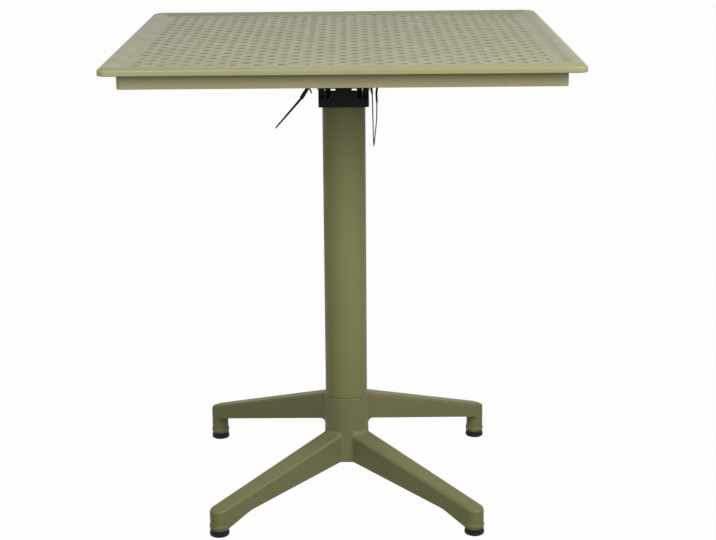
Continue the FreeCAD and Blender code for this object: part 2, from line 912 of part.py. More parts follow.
def make_column_head():
    """The hinge block: a spigot in the tube, a block on its end, two cheeks and a web in front.

    The web carries two round bosses and, between them, the pad that the top's stop rests against.
    """
    body = new_body("column_head")
    edge = new_sketch(body, "block_edge", lift=column_top)
    square(edge, head_half, S.head_corner_radius)
    pad(body, "block", edge, S.head_height)
    spigot = new_sketch(body, "spigot_edge", lift=column_top)
    circle(spigot, ZERO, ZERO, spigot_radius)
    pad(body, "spigot", spigot, S.head_spigot, reverse=True)
    web = new_sketch(body, "web_edge", lift=head_top)
    rectangle(web, -web_half, web_half, -head_half, -head_half + S.web_thickness)
    pad(body, "web", web, S.web_height)
    boss_radius = S.web_boss_diameter / 2
    bosses = new_sketch(body, "web_boss_ends", "XZ_Plane", lift=head_half)
    for side in (-1, 1):
        circle(bosses, side * (web_half - boss_radius), head_top + S.web_boss_rise, boss_radius)
    pad(body, "web_bosses", bosses, S.web_boss_proud)
    stop = new_sketch(body, "stop_edge", lift=column_top + S.stop_pad_base)
    stop_half = S.stop_pad_width / 2
    rectangle(stop, -stop_half, stop_half, -head_half - S.stop_pad_proud, -head_half + S.web_thickness)
    pad(body, "stop_pad", stop, S.stop_pad_height)
    side = new_sketch(body, "cheek_side", "YZ_Plane", lift=head_half - S.cheek_thickness)
    cheek_profile(side)
    cheek = pad(body, "cheek", side, S.cheek_thickness)
    mirror(body, "cheeks", [cheek])
    bores = new_sketch(body, "pin_bores", "YZ_Plane", lift=-head_half)
    circle(bores, hinge_y, hinge_z, pin_radius + S.fixed_clearance)
    pocket(body, "pin_holes", bores, 2 * head_half, reverse=True)
    rod_hole = new_sketch(body, "rod_edge", lift=head_top)
    circle(rod_hole, ZERO, ZERO, rod_bore)
    pocket(body, "rod_hole", rod_hole, S.head_height + S.head_spigot)
    return body


# Tie rod


def make_nut(name, z):
    """A hexagon nut on the tie rod."""
    prism = doc.addObject("Part::Prism", f"{name}_hexagon")
    prism.Polygon = 6
    bind(prism, "Circumradius", S.nut_across_flats / 3**0.5)
    bind(prism, "Height", S.nut_height)
    place(prism, z=z)
    bore = cylinder(f"{name}_bore", "Z", rod_radius + S.thread_clearance, S.nut_height, z=z)
    return cut(name, prism, [bore])


def make_tie_rod():
    """The rod, and its washers and nuts above the head and under the hub's floor."""
    washer_low = recess_top - S.washer_thickness
    nut_low = washer_low - S.nut_height
    nut_high = head_top + S.washer_thickness
    rod_low = nut_low - S.rod_overhang
    rod_high = nut_high + S.nut_height + S.rod_overhang
    rod = cylinder("tie_rod", "Z", rod_radius, rod_high - rod_low, z=rod_low)
    inner = rod_radius + S.thread_clearance
    washers = [
        ring(f"washer_{end}", "Z", inner, S.washer_diameter / 2, S.washer_thickness, z=z)
        for end, z in (("lower", washer_low), ("upper", head_top))
    ]
    nuts = [make_nut("nut_lower", nut_low), make_nut("nut_upper", nut_high)]
    return [rod, group("tie_rod_washers", washers), group("tie_rod_nuts", nuts)]


# Base casting


FRONT = SimpleNamespace(
    reach=S.front_foot_reach,
    angle=S.front_leg_angle,
    root_top=S.front_root_top,
    end_top=S.front_end_top,
    heel_round=ZERO,
)
BACK = SimpleNamespace(
    reach=S.back_foot_reach,
    angle=S.back_leg_angle,
    root_top=S.seam_height - S.back_root_drop,
    end_top=S.back_end_top,
    heel_round=S.back_heel_round,
)
FEET = {
    "front_left": (-1, -1, FRONT),
    "front_right": (1, -1, FRONT),
    "back_left": (-1, 1, BACK),
    "back_right": (1, 1, BACK),
}


def leg_plan(sketch, reach):
    """A leg from above: it tapers from the hub and ends in an arc about the foot."""
    root, end = S.leg_root_width / 2, leg_end_radius
    lean = math.asin((root.number - end.number) / reach.number)
    touch_x = reach.number + end.number * math.sin(lean)
    touch_y = end.number * math.cos(lean)
    corners = [Vector(0, -root.number, 0), Vector(touch_x, -touch_y, 0)]
    corners += [Vector(touch_x, touch_y, 0), Vector(0, root.number, 0)]
    tip = Part.Circle(Vector(reach.number, 0, 0), Vector(0, 0, 1), end.number)
    sketch.addGeometry(Part.LineSegment(corners[0], corners[1]), False)
    sketch.addGeometry(Part.ArcOfCircle(tip, lean - math.pi / 2, math.pi / 2 - lean), False)
    sketch.addGeometry(Part.LineSegment(corners[2], corners[3]), False)
    sketch.addGeometry(Part.LineSegment(corners[3], corners[0]), False)
    for joint in ((0, 2, 1, 1), (1, 2, 2, 1)):
        sketch.addConstraint(Sketcher.Constraint("Tangent", *joint))
    for joint in ((2, 2, 3, 1), (3, 2, 0, 1)):
        sketch.addConstraint(Sketcher.Constraint("Coincident", *joint))
    pin_point(sketch, 3, 1, ZERO, root)
    pin_point(sketch, 3, 2, ZERO, -root)
    pin_point(sketch, 1, 3, reach, ZERO)
    constrain(sketch, "Radius", (1,), end)


def slope_at(x, far_x, near, far):
    """Height at x on the straight line from near, at the column's face, to far, at far_x."""
    return near + (far - near) * ((x - column_radius) / (far_x - column_radius))


def make_leg_form(name, leg):
    """A leg along +X: its plan made solid, sloped above, rounded along its brow and hollow inside."""
    body = new_body(f"{name}_form")
    plan = new_sketch(body, f"{name}_plan", lift=leg_bottom)
    leg_plan(plan, leg.reach)
    pad(body, f"{name}_blank", plan, S.seam_height * 2)
    back, tip = -S.leg_end_width, leg.reach + S.leg_end_width
    heights = [slope_at(x, leg.reach, leg.root_top, leg.end_top) for x in (back, tip)]
    ceiling = S.seam_height * 3
    above = new_sketch(body, f"{name}_above", "XZ_Plane")
    outline(above, [(back, heights[0]), (tip, heights[1]), (tip, ceiling), (back, ceiling)])
    sloped = pocket(body, f"{name}_top", above, S.leg_root_width * 2, symmetric=True)
    round_edges(body, f"{name}_brow", sloped, S.leg_round, is_brow(leg))
    inner = column_radius + S.channel_start
    outer = leg.reach - leg_end_radius - leg.heel_round - S.channel_end
    roof = [slope_at(x, leg.reach, leg.root_top, leg.end_top) - S.channel_roof for x in (inner, outer)]
    channel = new_sketch(body, f"{name}_channel", "XZ_Plane")
    outline(channel, [(inner, ZERO), (outer, ZERO), (outer, roof[1]), (inner, roof[0])])
    pocket(body, f"{name}_hollow", channel, S.channel_width, symmetric=True)
    return body


def is_brow(leg):
    """A test for the edges round the top face of a leg."""

    def chosen(edge):
        middle = edge.valueAt((edge.FirstParameter + edge.LastParameter) / 2)
        height = slope_at(as_size(middle.x), leg.reach, leg.root_top, leg.end_top)
        return abs(middle.z - height.number) < 1e-3 and middle.x > 1e-3

    return chosen


def make_arch(name, corners):
    """The space under a leg, as a body to cut from it, and its pad.

    The corners are the space's upper side, from the foot inwards.
    """
    body = new_body(f"{name}_arch")
    back = -S.leg_end_width
    side = new_sketch(body, f"{name}_below", "XZ_Plane")
    foot_end, hub_side = corners[0][0], corners[-1][1]
    outline(side, [(back, ZERO), (foot_end, ZERO), *corners, (back, hub_side)])
    return body, pad(body, f"{name}_space", side, S.leg_root_width * 2, symmetric=True)


def make_front_leg(name):
    """A low leg, whose underside curves down to the foot."""
    bend = FRONT.reach - S.front_bend_back
    heel = FRONT.reach - S.front_heel_back
    corners = [(heel, leg_bottom), (bend, S.front_bend_under), (hub_base, S.front_root_under)]
    body, space = make_arch(name, corners)

    def at_bend(edge):
        return lies_at(edge, "X", bend) and lies_at(edge, "Z", S.front_bend_under)

    round_edges(body, f"{name}_bend", space, S.front_bend_round, at_bend)
    return cut(name, make_leg_form(name, FRONT), [body])


def under_back_leg(x):
    """Height of a high leg's underside."""
    return slope_at(x, BACK.reach - leg_end_radius, S.back_root_under, S.back_end_under)


def make_post(name):
    """The round post of a high leg, which spreads in a curve to the leg's underside."""
    body = new_body(f"{name}_post")
    half = new_sketch(body, f"{name}_post_half", "XZ_Plane")
    radius = leg_end_radius - S.back_post_inset
    spread = radius + S.back_heel_round
    ceiling = under_back_leg(BACK.reach - spread)
    outline(
        half,
        [
            (ZERO, ZERO),
            (radius, ZERO),
            (radius, ceiling - S.back_heel_round, -S.back_heel_round),
            (spread, ceiling),
            (spread, BACK.root_top),
            (ZERO, BACK.root_top),
        ],
    )
    revolve(body, f"{name}_post_turn", half)
    return place(body, BACK.reach)


def make_back_leg(name):
    """A high leg, whose end drops to the foot in a round post, so that a low leg passes under it."""
    body, _ = make_arch(name, [(x, under_back_leg(x)) for x in (BACK.reach, ZERO)])
    space = cut(f"{name}_clear", body, [make_post(name)])
    return cut(name, make_leg_form(name, BACK), [space])


def make_hub():
    """The hub, which tapers up to the column's line and runs on as far as its spigot will reach."""
    body = new_body("hub")
    half = new_sketch(body, "hub_half", "XZ_Plane")
    end_radius = column_radius - hub_draft * S.hub_spigot
    outline(half, [(ZERO, hub_bottom), (hub_base, hub_bottom), (end_radius, hub_end), (ZERO, hub_end)])
    revolve(body, "hub_solid", half)
    return body


def is_root_edge(edge):
    """Whether an edge is where a leg meets the hub's tapered side."""
    span = edge.LastParameter - edge.FirstParameter
    points = [edge.valueAt(edge.FirstParameter + span * share) for share in (0.1, 0.5, 0.9)]
    radii = [hub_base.number - hub_draft.number * (point.z - hub_bottom.number) for point in points]
    on_side = all(abs(math.hypot(p.x, p.y) - radius) < 1e-3 for p, radius in zip(points, radii))
    is_rim = lies_at(edge, "Z", hub_bottom) or lies_at(edge, "Z", hub_end)
    is_whole_side = edge.BoundBox.ZLength > (hub_end - hub_bottom).number - 1e-3
    return on_side and not is_rim and not is_whole_side


def make_seam_ring():
    """What is turned off the hub's upper end to leave the spigot, with a chamfer at the seam."""
    body = new_body("seam_ring")
    half = new_sketch(body, "seam_half", "XZ_Plane")
    low, high = S.seam_height - S.hub_chamfer, hub_end + S.hub_chamfer
    rim, outside = column_radius + hub_draft * S.hub_chamfer, hub_base + 2 * S.root_round
    outline(
        half,
        [
            (rim, low),
            (outside, low),
            (outside, high),
            (spigot_radius, high),
            (spigot_radius, S.seam_height),
            (column_radius - S.hub_chamfer, S.seam_height),
        ],
    )
    revolve(body, "seam_turn", half)
    return body


def foot_place(foot):
    """Plan position of a foot."""
    side_x, side_y, leg = FEET[foot]
    return side_x * leg.reach * leg.angle.cos(), side_y * leg.reach * leg.angle.sin()


def make_bead(foot):
    """The bead cast round the lower end of a leg: it swells out and draws in to the foot."""
    body = new_body(f"bead_{foot}")
    half = new_sketch(body, f"bead_half_{foot}", "XZ_Plane")
    widest = leg_bottom + S.bead_height / 2
    outline(
        half,
        [
            (ZERO, leg_bottom),
            (leg_end_radius - S.bead_flare / 2, leg_bottom),
            (leg_end_radius + S.bead_flare, widest),
            (leg_end_radius, leg_bottom + S.bead_height),
            (ZERO, leg_bottom + S.bead_height),
        ],
    )
    revolve(body, f"bead_turn_{foot}", half)
    x, y = foot_place(foot)
    return place(body, x, y)


def make_base_casting():
    """Hub and legs as one casting, with a recess for the lower nut and a bore for each stud."""
    solids = [make_hub()]
    tools = [
        make_seam_ring(),
        cylinder("hub_recess", "Z", S.hub_recess_diameter / 2, recess_top),
        cylinder("hub_bore", "Z", rod_bore, hub_end),
    ]
    for foot, (side_x, side_y, leg) in FEET.items():
        solid = make_front_leg(f"leg_{foot}") if leg is FRONT else make_back_leg(f"leg_{foot}")
        turn = side_y * leg.angle if side_x > 0 else 180 - side_y * leg.angle
        solid.Placement = Placement(Vector(), Rotation(Vector(0, 0, 1), 1))
        bind(solid, "Placement.Rotation.Angle", turn)
        solids += [solid, make_bead(foot)]
        x, y = foot_place(foot)
        bore_top = stud_top + S.stud_bore_spare
        tools.append(cylinder(f"stud_bore_{foot}", "Z", stud_radius + S.stud_clearance, bore_top, x, y))
    blend = new_body("base_blend")
    blend.BaseFeature = fuse("base_solid", solids)
    round_edges(blend, "leg_roots", blend.Tip, S.root_round, is_root_edge)
    return cut("base_casting", blend, tools)


# Levelling feet


def make_foot(foot):
    """A moulded pad, and the stud that it turns on."""
    x, y = foot_place(foot)
    radius = S.pad_diameter / 2
    body = new_body(f"foot_pad_{foot}")
    half = new_sketch(body, f"pad_half_{foot}", "XZ_Plane")
    outline(
        half,
        [
            (ZERO, ZERO),
            (radius - S.pad_lower_round, ZERO),
            (radius, S.pad_lower_round),
            (radius, S.pad_height - S.pad_upper_round),
            (radius - S.pad_upper_round, S.pad_height),
            (stud_radius, S.pad_height),
            (stud_radius, stud_floor),
            (ZERO, stud_floor),
        ],
    )
    revolve(body, f"pad_turn_{foot}", half)
    place(body, x, y)
    stud = cylinder(f"foot_stud_{foot}", "Z", stud_radius, S.stud_length, x, y, stud_floor)
    return [body, stud]


# Assembly

nodes = [
    make_table_top(),
    make_top_skirt(),
    make_top_ribs(),
    make_tilt_bracket(),
    make_bracket_screws(),
    make_hinge_bushes(),
    make_pin("hinge_pin", pin_radius, head_half + S.pin_overhang, hinge_y, hinge_z),
    make_clips("hinge_pin_clips", pin_radius, head_half, hinge_y, hinge_z),
    make_latch_lever(),
    make_pin("latch_pin", latch_pin_radius, lug_outer + S.pin_overhang, latch_y, latch_z),
    make_clips("latch_pin_clips", latch_pin_radius, lug_outer, latch_y, latch_z),
    make_latch_spring(),
    make_spring_rivet(),
    *[make_cable_tie(name) for name in TIES],
    make_column_head(),
    make_column_tube(),
    make_base_casting(),
    *make_tie_rod(),
]
for foot in FEET:
    nodes += make_foot(foot)
doc.recompute()

failed = [item.Name for item in doc.Objects if {"Invalid", "Error"} & set(item.State)]
failed += [node.Label for node in nodes if node.Shape.isNull() or not node.Shape.isValid()]
if failed:
    raise SystemExit(f"not built: {failed}")

os.makedirs("parts", exist_ok=True)
for node in nodes:
    node.Shape.exportStep(f"parts/{node.Label}.step")
    print(f"{node.Label}: {len(node.Shape.Solids)} solids, {node.Shape.Volume / 1000:.2f} cm3")
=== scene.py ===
import json
import logging
import math
from dataclasses import dataclass, field
from enum import Enum

import bpy
import numpy as np
from mathutils import Matrix, Vector


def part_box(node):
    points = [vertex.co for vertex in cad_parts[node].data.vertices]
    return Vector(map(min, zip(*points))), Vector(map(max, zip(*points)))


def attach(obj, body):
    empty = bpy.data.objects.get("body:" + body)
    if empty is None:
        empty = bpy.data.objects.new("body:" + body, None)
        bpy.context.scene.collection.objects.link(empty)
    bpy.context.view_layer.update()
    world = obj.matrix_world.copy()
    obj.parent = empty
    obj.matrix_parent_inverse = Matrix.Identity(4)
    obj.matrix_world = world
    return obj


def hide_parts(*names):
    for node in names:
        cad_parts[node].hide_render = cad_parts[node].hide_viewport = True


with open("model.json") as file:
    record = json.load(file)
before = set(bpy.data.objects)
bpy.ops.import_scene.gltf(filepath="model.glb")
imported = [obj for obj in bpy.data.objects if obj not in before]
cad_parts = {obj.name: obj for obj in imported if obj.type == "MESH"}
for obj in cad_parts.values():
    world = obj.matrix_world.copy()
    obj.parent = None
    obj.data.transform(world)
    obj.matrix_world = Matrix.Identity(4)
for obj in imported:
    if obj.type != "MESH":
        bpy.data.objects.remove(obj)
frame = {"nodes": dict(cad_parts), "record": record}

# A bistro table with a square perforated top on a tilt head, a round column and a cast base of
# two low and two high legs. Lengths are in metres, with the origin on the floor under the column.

log = logging.getLogger("bistro_table")

MM = 0.001
WELD = 1e-6
# Mark for painted shade on the walls of the drain holes
HOLE_SHADE_MARK = "painted_hole_shade"
# Mark for painted shade over the castings, standing in for the lesser light on the base
BASE_SHADE_MARK = "painted_base_shade"

NOISE_LOW, NOISE_HIGH = 0.3, 0.7
STRAP_STEPS = 12
WHITE = (1.0, 1.0, 1.0, 1.0)
FEET = ("front_left", "front_right", "back_left", "back_right")

Colour = tuple[float, float, float]
Place = tuple[float, float, float]
Knots = tuple[tuple[float, float, float], ...]
Surface = tuple[np.ndarray, np.ndarray]


class Body(str, Enum):
    """The bodies that the table moves in."""

    BASE = "base"
    TOP = "top"
    LATCH = "latch"


class Slot(str, Enum):
    """The finishes that the record names."""

    OLIVE_PLASTIC = "olive_plastic"
    OLIVE_PAINT = "olive_paint"
    BLACK_PAINT = "black_paint"
    BLACK_NYLON = "black_nylon"
    FOOT_PLASTIC = "foot_plastic"
    STEEL = "steel"


class NodeTree:
    """A small helper that adds and links shader nodes."""

    def __init__(self, name: str) -> None:
        """Start a material with a Principled shader and Object coordinates.

        Args:
            name: Name of the material.
        """
        self.material = bpy.data.materials.new(name)
        self.material.use_nodes = True
        self.tree = self.material.node_tree
        self.shader = self.tree.nodes["Principled BSDF"]
        self.place = self.add("ShaderNodeTexCoord").outputs["Object"]

    def add(self, kind: str, **values: float) -> bpy.types.Node:
        """Add a node and set its input sockets by name.

        Args:
            kind: Blender's class name of the node.
            **values: Socket names, with spaces as underscores, and their values.

        Returns:
            The new node.
        """
        node = self.tree.nodes.new(kind)
        for name, value in values.items():
            node.inputs[name.replace("_", " ")].default_value = value
        return node

    def link(self, output: bpy.types.NodeSocket, target: bpy.types.NodeSocket) -> None:
        """Join two sockets."""
        self.tree.links.new(output, target)

    def noise(self, scale: float, detail: float) -> bpy.types.NodeSocket:
        """A cloud noise in the object's own coordinates.

        Args:
            scale: Clouds per metre.
            detail: Octaves of finer noise.

        Returns:
            The noise's value, about 0 to 1.
        """
        node = self.add("ShaderNodeTexNoise", Scale=scale, Detail=detail)
        self.link(self.place, node.inputs["Vector"])
        return node.outputs["Fac"]

    def spread(self, value: bpy.types.NodeSocket, low: float, high: float) -> bpy.types.NodeSocket:
        """Carry the middle of a noise over to a range.

        Args:
            value: A noise.
            low: Result at the low end.
            high: Result at the high end.

        Returns:
            The mapped value.
        """
        ends = {"From_Min": NOISE_LOW, "From_Max": NOISE_HIGH, "To_Min": low, "To_Max": high}
        node = self.add("ShaderNodeMapRange", **ends)
        self.link(value, node.inputs["Value"])
        return node.outputs["Result"]

    def mixer(self, blend: str) -> tuple[bpy.types.Node, list[bpy.types.NodeSocket], bpy.types.NodeSocket]:
        """Add a node that mixes two colours.

        Args:
            blend: Blender's name for the way of mixing.

        Returns:
            The node, its two colours and its result.
        """
        node = self.tree.nodes.new("ShaderNodeMix")
        node.data_type = "RGBA"
        node.blend_type = blend
        colours = [socket for socket in node.inputs if socket.type == "RGBA"]
        return node, colours, next(socket for socket in node.outputs if socket.type == "RGBA")

    def tint(self, value: bpy.types.NodeSocket, dark: Colour, light: Colour) -> bpy.types.NodeSocket:
        """Mix two colours by a noise.

        Args:
            value: A noise.
            dark: Linear colour at the low end.
            light: Linear colour at the high end.

        Returns:
            The mixed colour.
        """
        node, colours, mixed = self.mixer("MIX")
        colours[0].default_value = (*dark, 1.0)
        colours[1].default_value = (*light, 1.0)
        self.link(self.spread(value, 0.0, 1.0), node.inputs["Factor"])
        return mixed

    def darken(self, name: str, shade: Colour) -> None:
        """Multiply the shader's colour by a shade where a piece's points are marked.

        Args:
            name: Name of the points' mark, 0 to 1.
            shade: Linear shade at a mark of 1.
        """
        marked = self.tree.nodes.new("ShaderNodeAttribute")
        marked.attribute_name = name
        node, colours, mixed = self.mixer("MULTIPLY")
        colours[1].default_value = (*shade, 1.0)
        base = self.shader.inputs["Base Color"]
        self.link(base.links[0].from_socket, colours[0])
        self.link(marked.outputs["Fac"], node.inputs["Factor"])
        self.link(mixed, base)

    def relief(self, height: bpy.types.NodeSocket, depth: float, strength: float) -> None:
        """Add a bump to the shader, over any that is there already.

        Args:
            height: The bump's height, 0 to 1.
            depth: Height of 1, in metres.
            strength: How much of the bump shows.
        """
        node = self.add("ShaderNodeBump", Strength=strength, Distance=depth)
        self.link(height, node.inputs["Height"])
        normal = self.shader.inputs["Normal"]
        if normal.is_linked:
            self.link(normal.links[0].from_socket, node.inputs["Normal"])
        self.link(node.outputs["Normal"], normal)


def shade_of(colour: Colour, factor: float) -> Colour:
    """A colour made lighter or darker."""
    return tuple(min(channel * factor, 1.0) for channel in colour)


@dataclass(frozen=True)
class Coating:
    """A finish with a colour that drifts a little, a roughness that drifts, and a fine relief."""

    name: str
    colour: Colour
    roughness: float
    drift: float = 0.06
    cloud_scale: float = 9.0
    cloud_detail: float = 4.0
    roughness_drift: float = 0.05
    patches_per_cloud: float = 5.0
    patch_detail: float = 3.0
    grain_scale: float = 900.0
    grain_detail: float = 2.0
    grain_depth: float = 0.02 * MM
    grain_strength: float = 0.35
    metallic: float = 0.0
    specular: float = 0.5

    def material(self) -> bpy.types.Material:
        """Make the finish as a material.

        Returns:
            The material.
        """
        nodes = NodeTree(self.name)
        shader = nodes.shader
        shader.inputs["Metallic"].default_value = self.metallic
        shader.inputs["Specular IOR Level"].default_value = self.specular
        clouds = nodes.noise(self.cloud_scale, self.cloud_detail)
        dark, light = shade_of(self.colour, 1 - self.drift), shade_of(self.colour, 1 + self.drift)
        nodes.link(nodes.tint(clouds, dark, light), shader.inputs["Base Color"])
        patches = nodes.noise(self.cloud_scale * self.patches_per_cloud, self.patch_detail)
        low, high = self.roughness - self.roughness_drift, self.roughness + self.roughness_drift
        nodes.link(nodes.spread(patches, low, high), shader.inputs["Roughness"])
        self.surface(nodes)
        return nodes.material

    def surface(self, nodes: NodeTree) -> None:
        """Add the finish's relief.

        Args:
            nodes: The material that it goes into.
        """
        grain = nodes.noise(self.grain_scale, self.grain_detail)
        nodes.relief(grain, self.grain_depth, self.grain_strength)


@dataclass(frozen=True)
class MouldedPlastic(Coating):
    """Moulded plastic with a fine grain, with painted shade where the piece is marked: the walls of the
    drain holes.
    """

    # Painted shade on the walls of the drain holes
    hole_shade_colour: Colour = (0.6, 0.56, 0.6)

    def surface(self, nodes: NodeTree) -> None:
        """Paint shade on the marked places, the walls of the drain holes, and add the grain.

        Args:
            nodes: The material that it goes into.
        """
        # Painted shade on the walls of the drain holes
        nodes.darken(HOLE_SHADE_MARK, self.hole_shade_colour)
        super().surface(nodes)


@dataclass(frozen=True)
class PowderCoat(Coating):
    """Baked powder on metal: a low orange peel under a finer grain, drawn darker on the castings as painted
    shade for the lesser light on the base.
    """

    peel_scale: float = 260.0
    peel_detail: float = 1.0
    peel_depth: float = 0.05 * MM
    # Painted shade over the castings
    base_shade_colour: Colour = (0.91, 0.89, 0.94)

    def surface(self, nodes: NodeTree) -> None:
        """Paint shade on the marked castings, and add the orange peel and the grain.

        Args:
            nodes: The material that it goes into.
        """
        # Painted shade over the marked castings
        nodes.darken(BASE_SHADE_MARK, self.base_shade_colour)
        peel = nodes.noise(self.peel_scale, self.peel_detail)
        nodes.relief(peel, self.peel_depth, self.grain_strength)
        super().surface(nodes)


@dataclass(frozen=True)
class DrawnSteel(Coating):
    """Plated steel with faint lines from drawing along one axis."""

    stretch: tuple[float, float, float] = (1.0, 1.0, 0.05)
    line_detail: float = 3.0

    def surface(self, nodes: NodeTree) -> None:
        """Add the lines: a noise that is drawn out along one axis.

        Args:
            nodes: The material that it goes into.
        """
        mapping = nodes.add("ShaderNodeMapping", Scale=self.stretch)
        nodes.link(nodes.place, mapping.inputs["Vector"])
        noise = nodes.add("ShaderNodeTexNoise", Scale=self.grain_scale, Detail=self.line_detail)
        nodes.link(mapping.outputs["Vector"], noise.inputs["Vector"])
        nodes.relief(noise.outputs["Fac"], self.grain_depth, self.grain_strength)


FINISHES: dict[Slot, Coating] = {
    Slot.OLIVE_PLASTIC: MouldedPlastic(
        "olive_plastic",
        (0.228, 0.219, 0.098),
        0.42,
        drift=0.04,
        cloud_scale=4.0,
        grain_scale=1400.0,
        specular=0.6,
    ),
    Slot.OLIVE_PAINT: PowderCoat("olive_paint", (0.172, 0.174, 0.066), 0.58, drift=0.03, specular=0.35),
    Slot.BLACK_PAINT: PowderCoat("black_paint", (0.004, 0.004, 0.004), 0.5, drift=0.2, specular=0.12),
    Slot.BLACK_NYLON: Coating("black_nylon", (0.006, 0.006, 0.006), 0.5, drift=0.2, specular=0.2),
    Slot.FOOT_PLASTIC: Coating(
        "foot_plastic",
        (0.008, 0.008, 0.008),
        0.5,
        drift=0.25,
        grain_scale=700.0,
        specular=0.2,
    ),
    Slot.STEEL: DrawnSteel("zinc_steel", (0.56, 0.56, 0.57), 0.32, metallic=1.0),
}


def merged(points: np.ndarray) -> tuple[np.ndarray, np.ndarray]:
    """Number the places that points lie at, with points that fall together at one place.

    Args:
        points: Points, one row each.

    Returns:
        The row of the first point at each place, and the place number of each point.
    """
    keys = np.round(points / WELD).astype(np.int64)
    _, first, number = np.unique(keys, axis=0, return_index=True, return_inverse=True)
    return first, number.reshape(-1)


def welded(points: np.ndarray, faces: np.ndarray) -> tuple[np.ndarray, list[list[int]]]:
    """Merge points that fall together, and drop the sides that this closes up.

    Args:
        points: Points, one row each.
        faces: Four point numbers a row.

    Returns:
        The merged points, and the faces with three or four corners.
    """
    first, number = merged(points)
    faces = number[faces]
    same = faces == np.roll(faces, -1, axis=1)
    lost = same.sum(1)
    triangles = faces[lost == 1][~same[lost == 1]].reshape(-1, 3)
    return points[first], faces[lost == 0].tolist() + triangles.tolist()


def joined(parts: list[Surface]) -> Surface:
    """Put the points and faces of several parts into one list of each.

    Args:
        parts: The points and the faces of each part.

    Returns:
        All the points and all the faces.
    """
    offsets = np.cumsum([0] + [len(points) for points, _ in parts[:-1]])
    faces = [faces + offset for (_, faces), offset in zip(parts, offsets)]
    return np.vstack([points for points, _ in parts]), np.vstack(faces)


def grid_faces(rows: int, columns: int, closed_rows: bool, closed_columns: bool) -> np.ndarray:
    """Four-cornered faces over a grid of points.

    Args:
        rows: Points down the grid.
        columns: Points across the grid.
        closed_rows: Whether the last row joins the first.
        closed_columns: Whether the last column joins the first.

    Returns:
        Point numbers, four a row.
    """
    number = np.arange(rows * columns).reshape(rows, columns)
    if closed_rows:
        number = np.vstack([number, number[:1]])
    if closed_columns:
        number = np.hstack([number, number[:, :1]])
    corners = (number[:-1, :-1], number[:-1, 1:], number[1:, 1:], number[1:, :-1])
    return np.stack(corners, axis=-1).reshape(-1, 4)


def new_piece(name: str, points: np.ndarray, faces: list[list[int]]) -> bpy.types.Object:
    """Make an object from points and faces.

    Args:
        name: Name of the piece.
        points: Points, one row each.
        faces: Point numbers of each face.

    Returns:
        The object, at the origin.
    """
    mesh = bpy.data.meshes.new(name)
    mesh.from_pydata(points.tolist(), [], faces)
    mesh.update()
    piece = bpy.data.objects.new(name, mesh)
    bpy.context.scene.collection.objects.link(piece)
    return piece


def points_of(mesh: bpy.types.Mesh) -> np.ndarray:
    """The points of a mesh.

    Args:
        mesh: The mesh.

    Returns:
        Its points, one row each.
    """
    points = np.empty(len(mesh.vertices) * 3)
    mesh.vertices.foreach_get("co", points)
    return points.reshape(-1, 3)


def mark(piece: bpy.types.Object, name: str, values: np.ndarray) -> None:
    """Keep a value for each point of a piece, for its finish to read.

    Args:
        piece: The piece.
        name: Name of the mark.
        values: A value for each point.
    """
    attribute = piece.data.attributes.new(name, "FLOAT", "POINT")
    attribute.data.foreach_set("value", values.astype(float))


def smooth(piece: bpy.types.Object, angle: float) -> None:
    """Shade a piece smooth, with edges sharper than an angle kept crisp and flat faces kept flat.

    Args:
        piece: The piece.
        angle: Least angle of a crisp edge, in degrees.
    """
    piece.data.shade_smooth()
    piece.data.set_sharp_from_angle(angle=math.radians(angle))
    weighted = piece.modifiers.new("flat_faces", "WEIGHTED_NORMAL")
    weighted.keep_sharp = True


def dress(piece: bpy.types.Object, slot: Slot, materials: dict[Slot, bpy.types.Material]) -> None:
    """Give a piece the finish of a slot.

    Args:
        piece: The piece.
        slot: The finish.
        materials: The material of each finish.
    """
    piece.data.materials.clear()
    piece.data.materials.append(materials[slot])


def fit(piece: bpy.types.Object, body: str, slot: Slot, *nodes: str) -> None:
    """Let a piece ride on a body and stand for nodes of the solid model.

    Args:
        piece: The piece.
        body: The body that it moves with.
        slot: The record's finish; not used.
        *nodes: The nodes that it stands for.
    """
    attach(piece, body)
    if nodes:
        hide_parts(*nodes)
    log.info("%s: %d faces on %s", piece.name, len(piece.data.polygons), body)


def arc(centre: tuple[float, float], radius: float, start: float, end: float, steps: int) -> np.ndarray:
    """Points on an arc of a profile.

    The point at angle a is the centre plus the radius times (cos a, sin a).

    Args:
        centre: Centre of the arc.
        radius: Its radius.
        start: First angle, in degrees.
        end: Last angle, in degrees.
        steps: Number of points.

    Returns:
        The points, one row each.
    """
    angle = np.radians(np.linspace(start, end, steps))
    return np.column_stack([centre[0] + radius * np.cos(angle), centre[1] + radius * np.sin(angle)])


def quarter_turns(points: np.ndarray) -> list[np.ndarray]:
    """Points of a plan in all four quarters: a quarter turn carries (x, y) to (-y, x).

    Args:
        points: X and Y of the points, along the last axis.

    Returns:
        The points, and the points after one, two and three quarter turns.
    """
    turns = [points]
    for _ in range(3):
        turns.append(np.stack([-turns[-1][..., 1], turns[-1][..., 0]], -1))
    return turns


def rounded_square(half: np.ndarray, radius: np.ndarray, side_steps: int, corner_steps: int) -> np.ndarray:
    """Points round squares with rounded corners, a row for each square.

    One side runs along +Y at x = half, from y = radius - half to half - radius, and its corner is an
    arc about (half - radius, half - radius). The other sides are this one turned by quarter turns.

    Args:
        half: Half width of each square.
        radius: Corner radius of each square.
        side_steps: Steps along each side.
        corner_steps: Steps round each corner.

    Returns:
        X and Y of the points, as squares by points by two.
    """
    run = np.linspace(-1.0, 1.0, side_steps + 1)
    straight = half - radius
    side = np.stack([np.broadcast_to(half[:, None], (len(half), len(run))), straight[:, None] * run], -1)
    turn = np.linspace(0.0, math.pi / 2, corner_steps + 1)[1:-1]
    corner = straight[:, None, None] + radius[:, None, None] * np.stack([np.cos(turn), np.sin(turn)], -1)
    return np.concatenate(quarter_turns(np.concatenate([side, corner], axis=1)), axis=1)


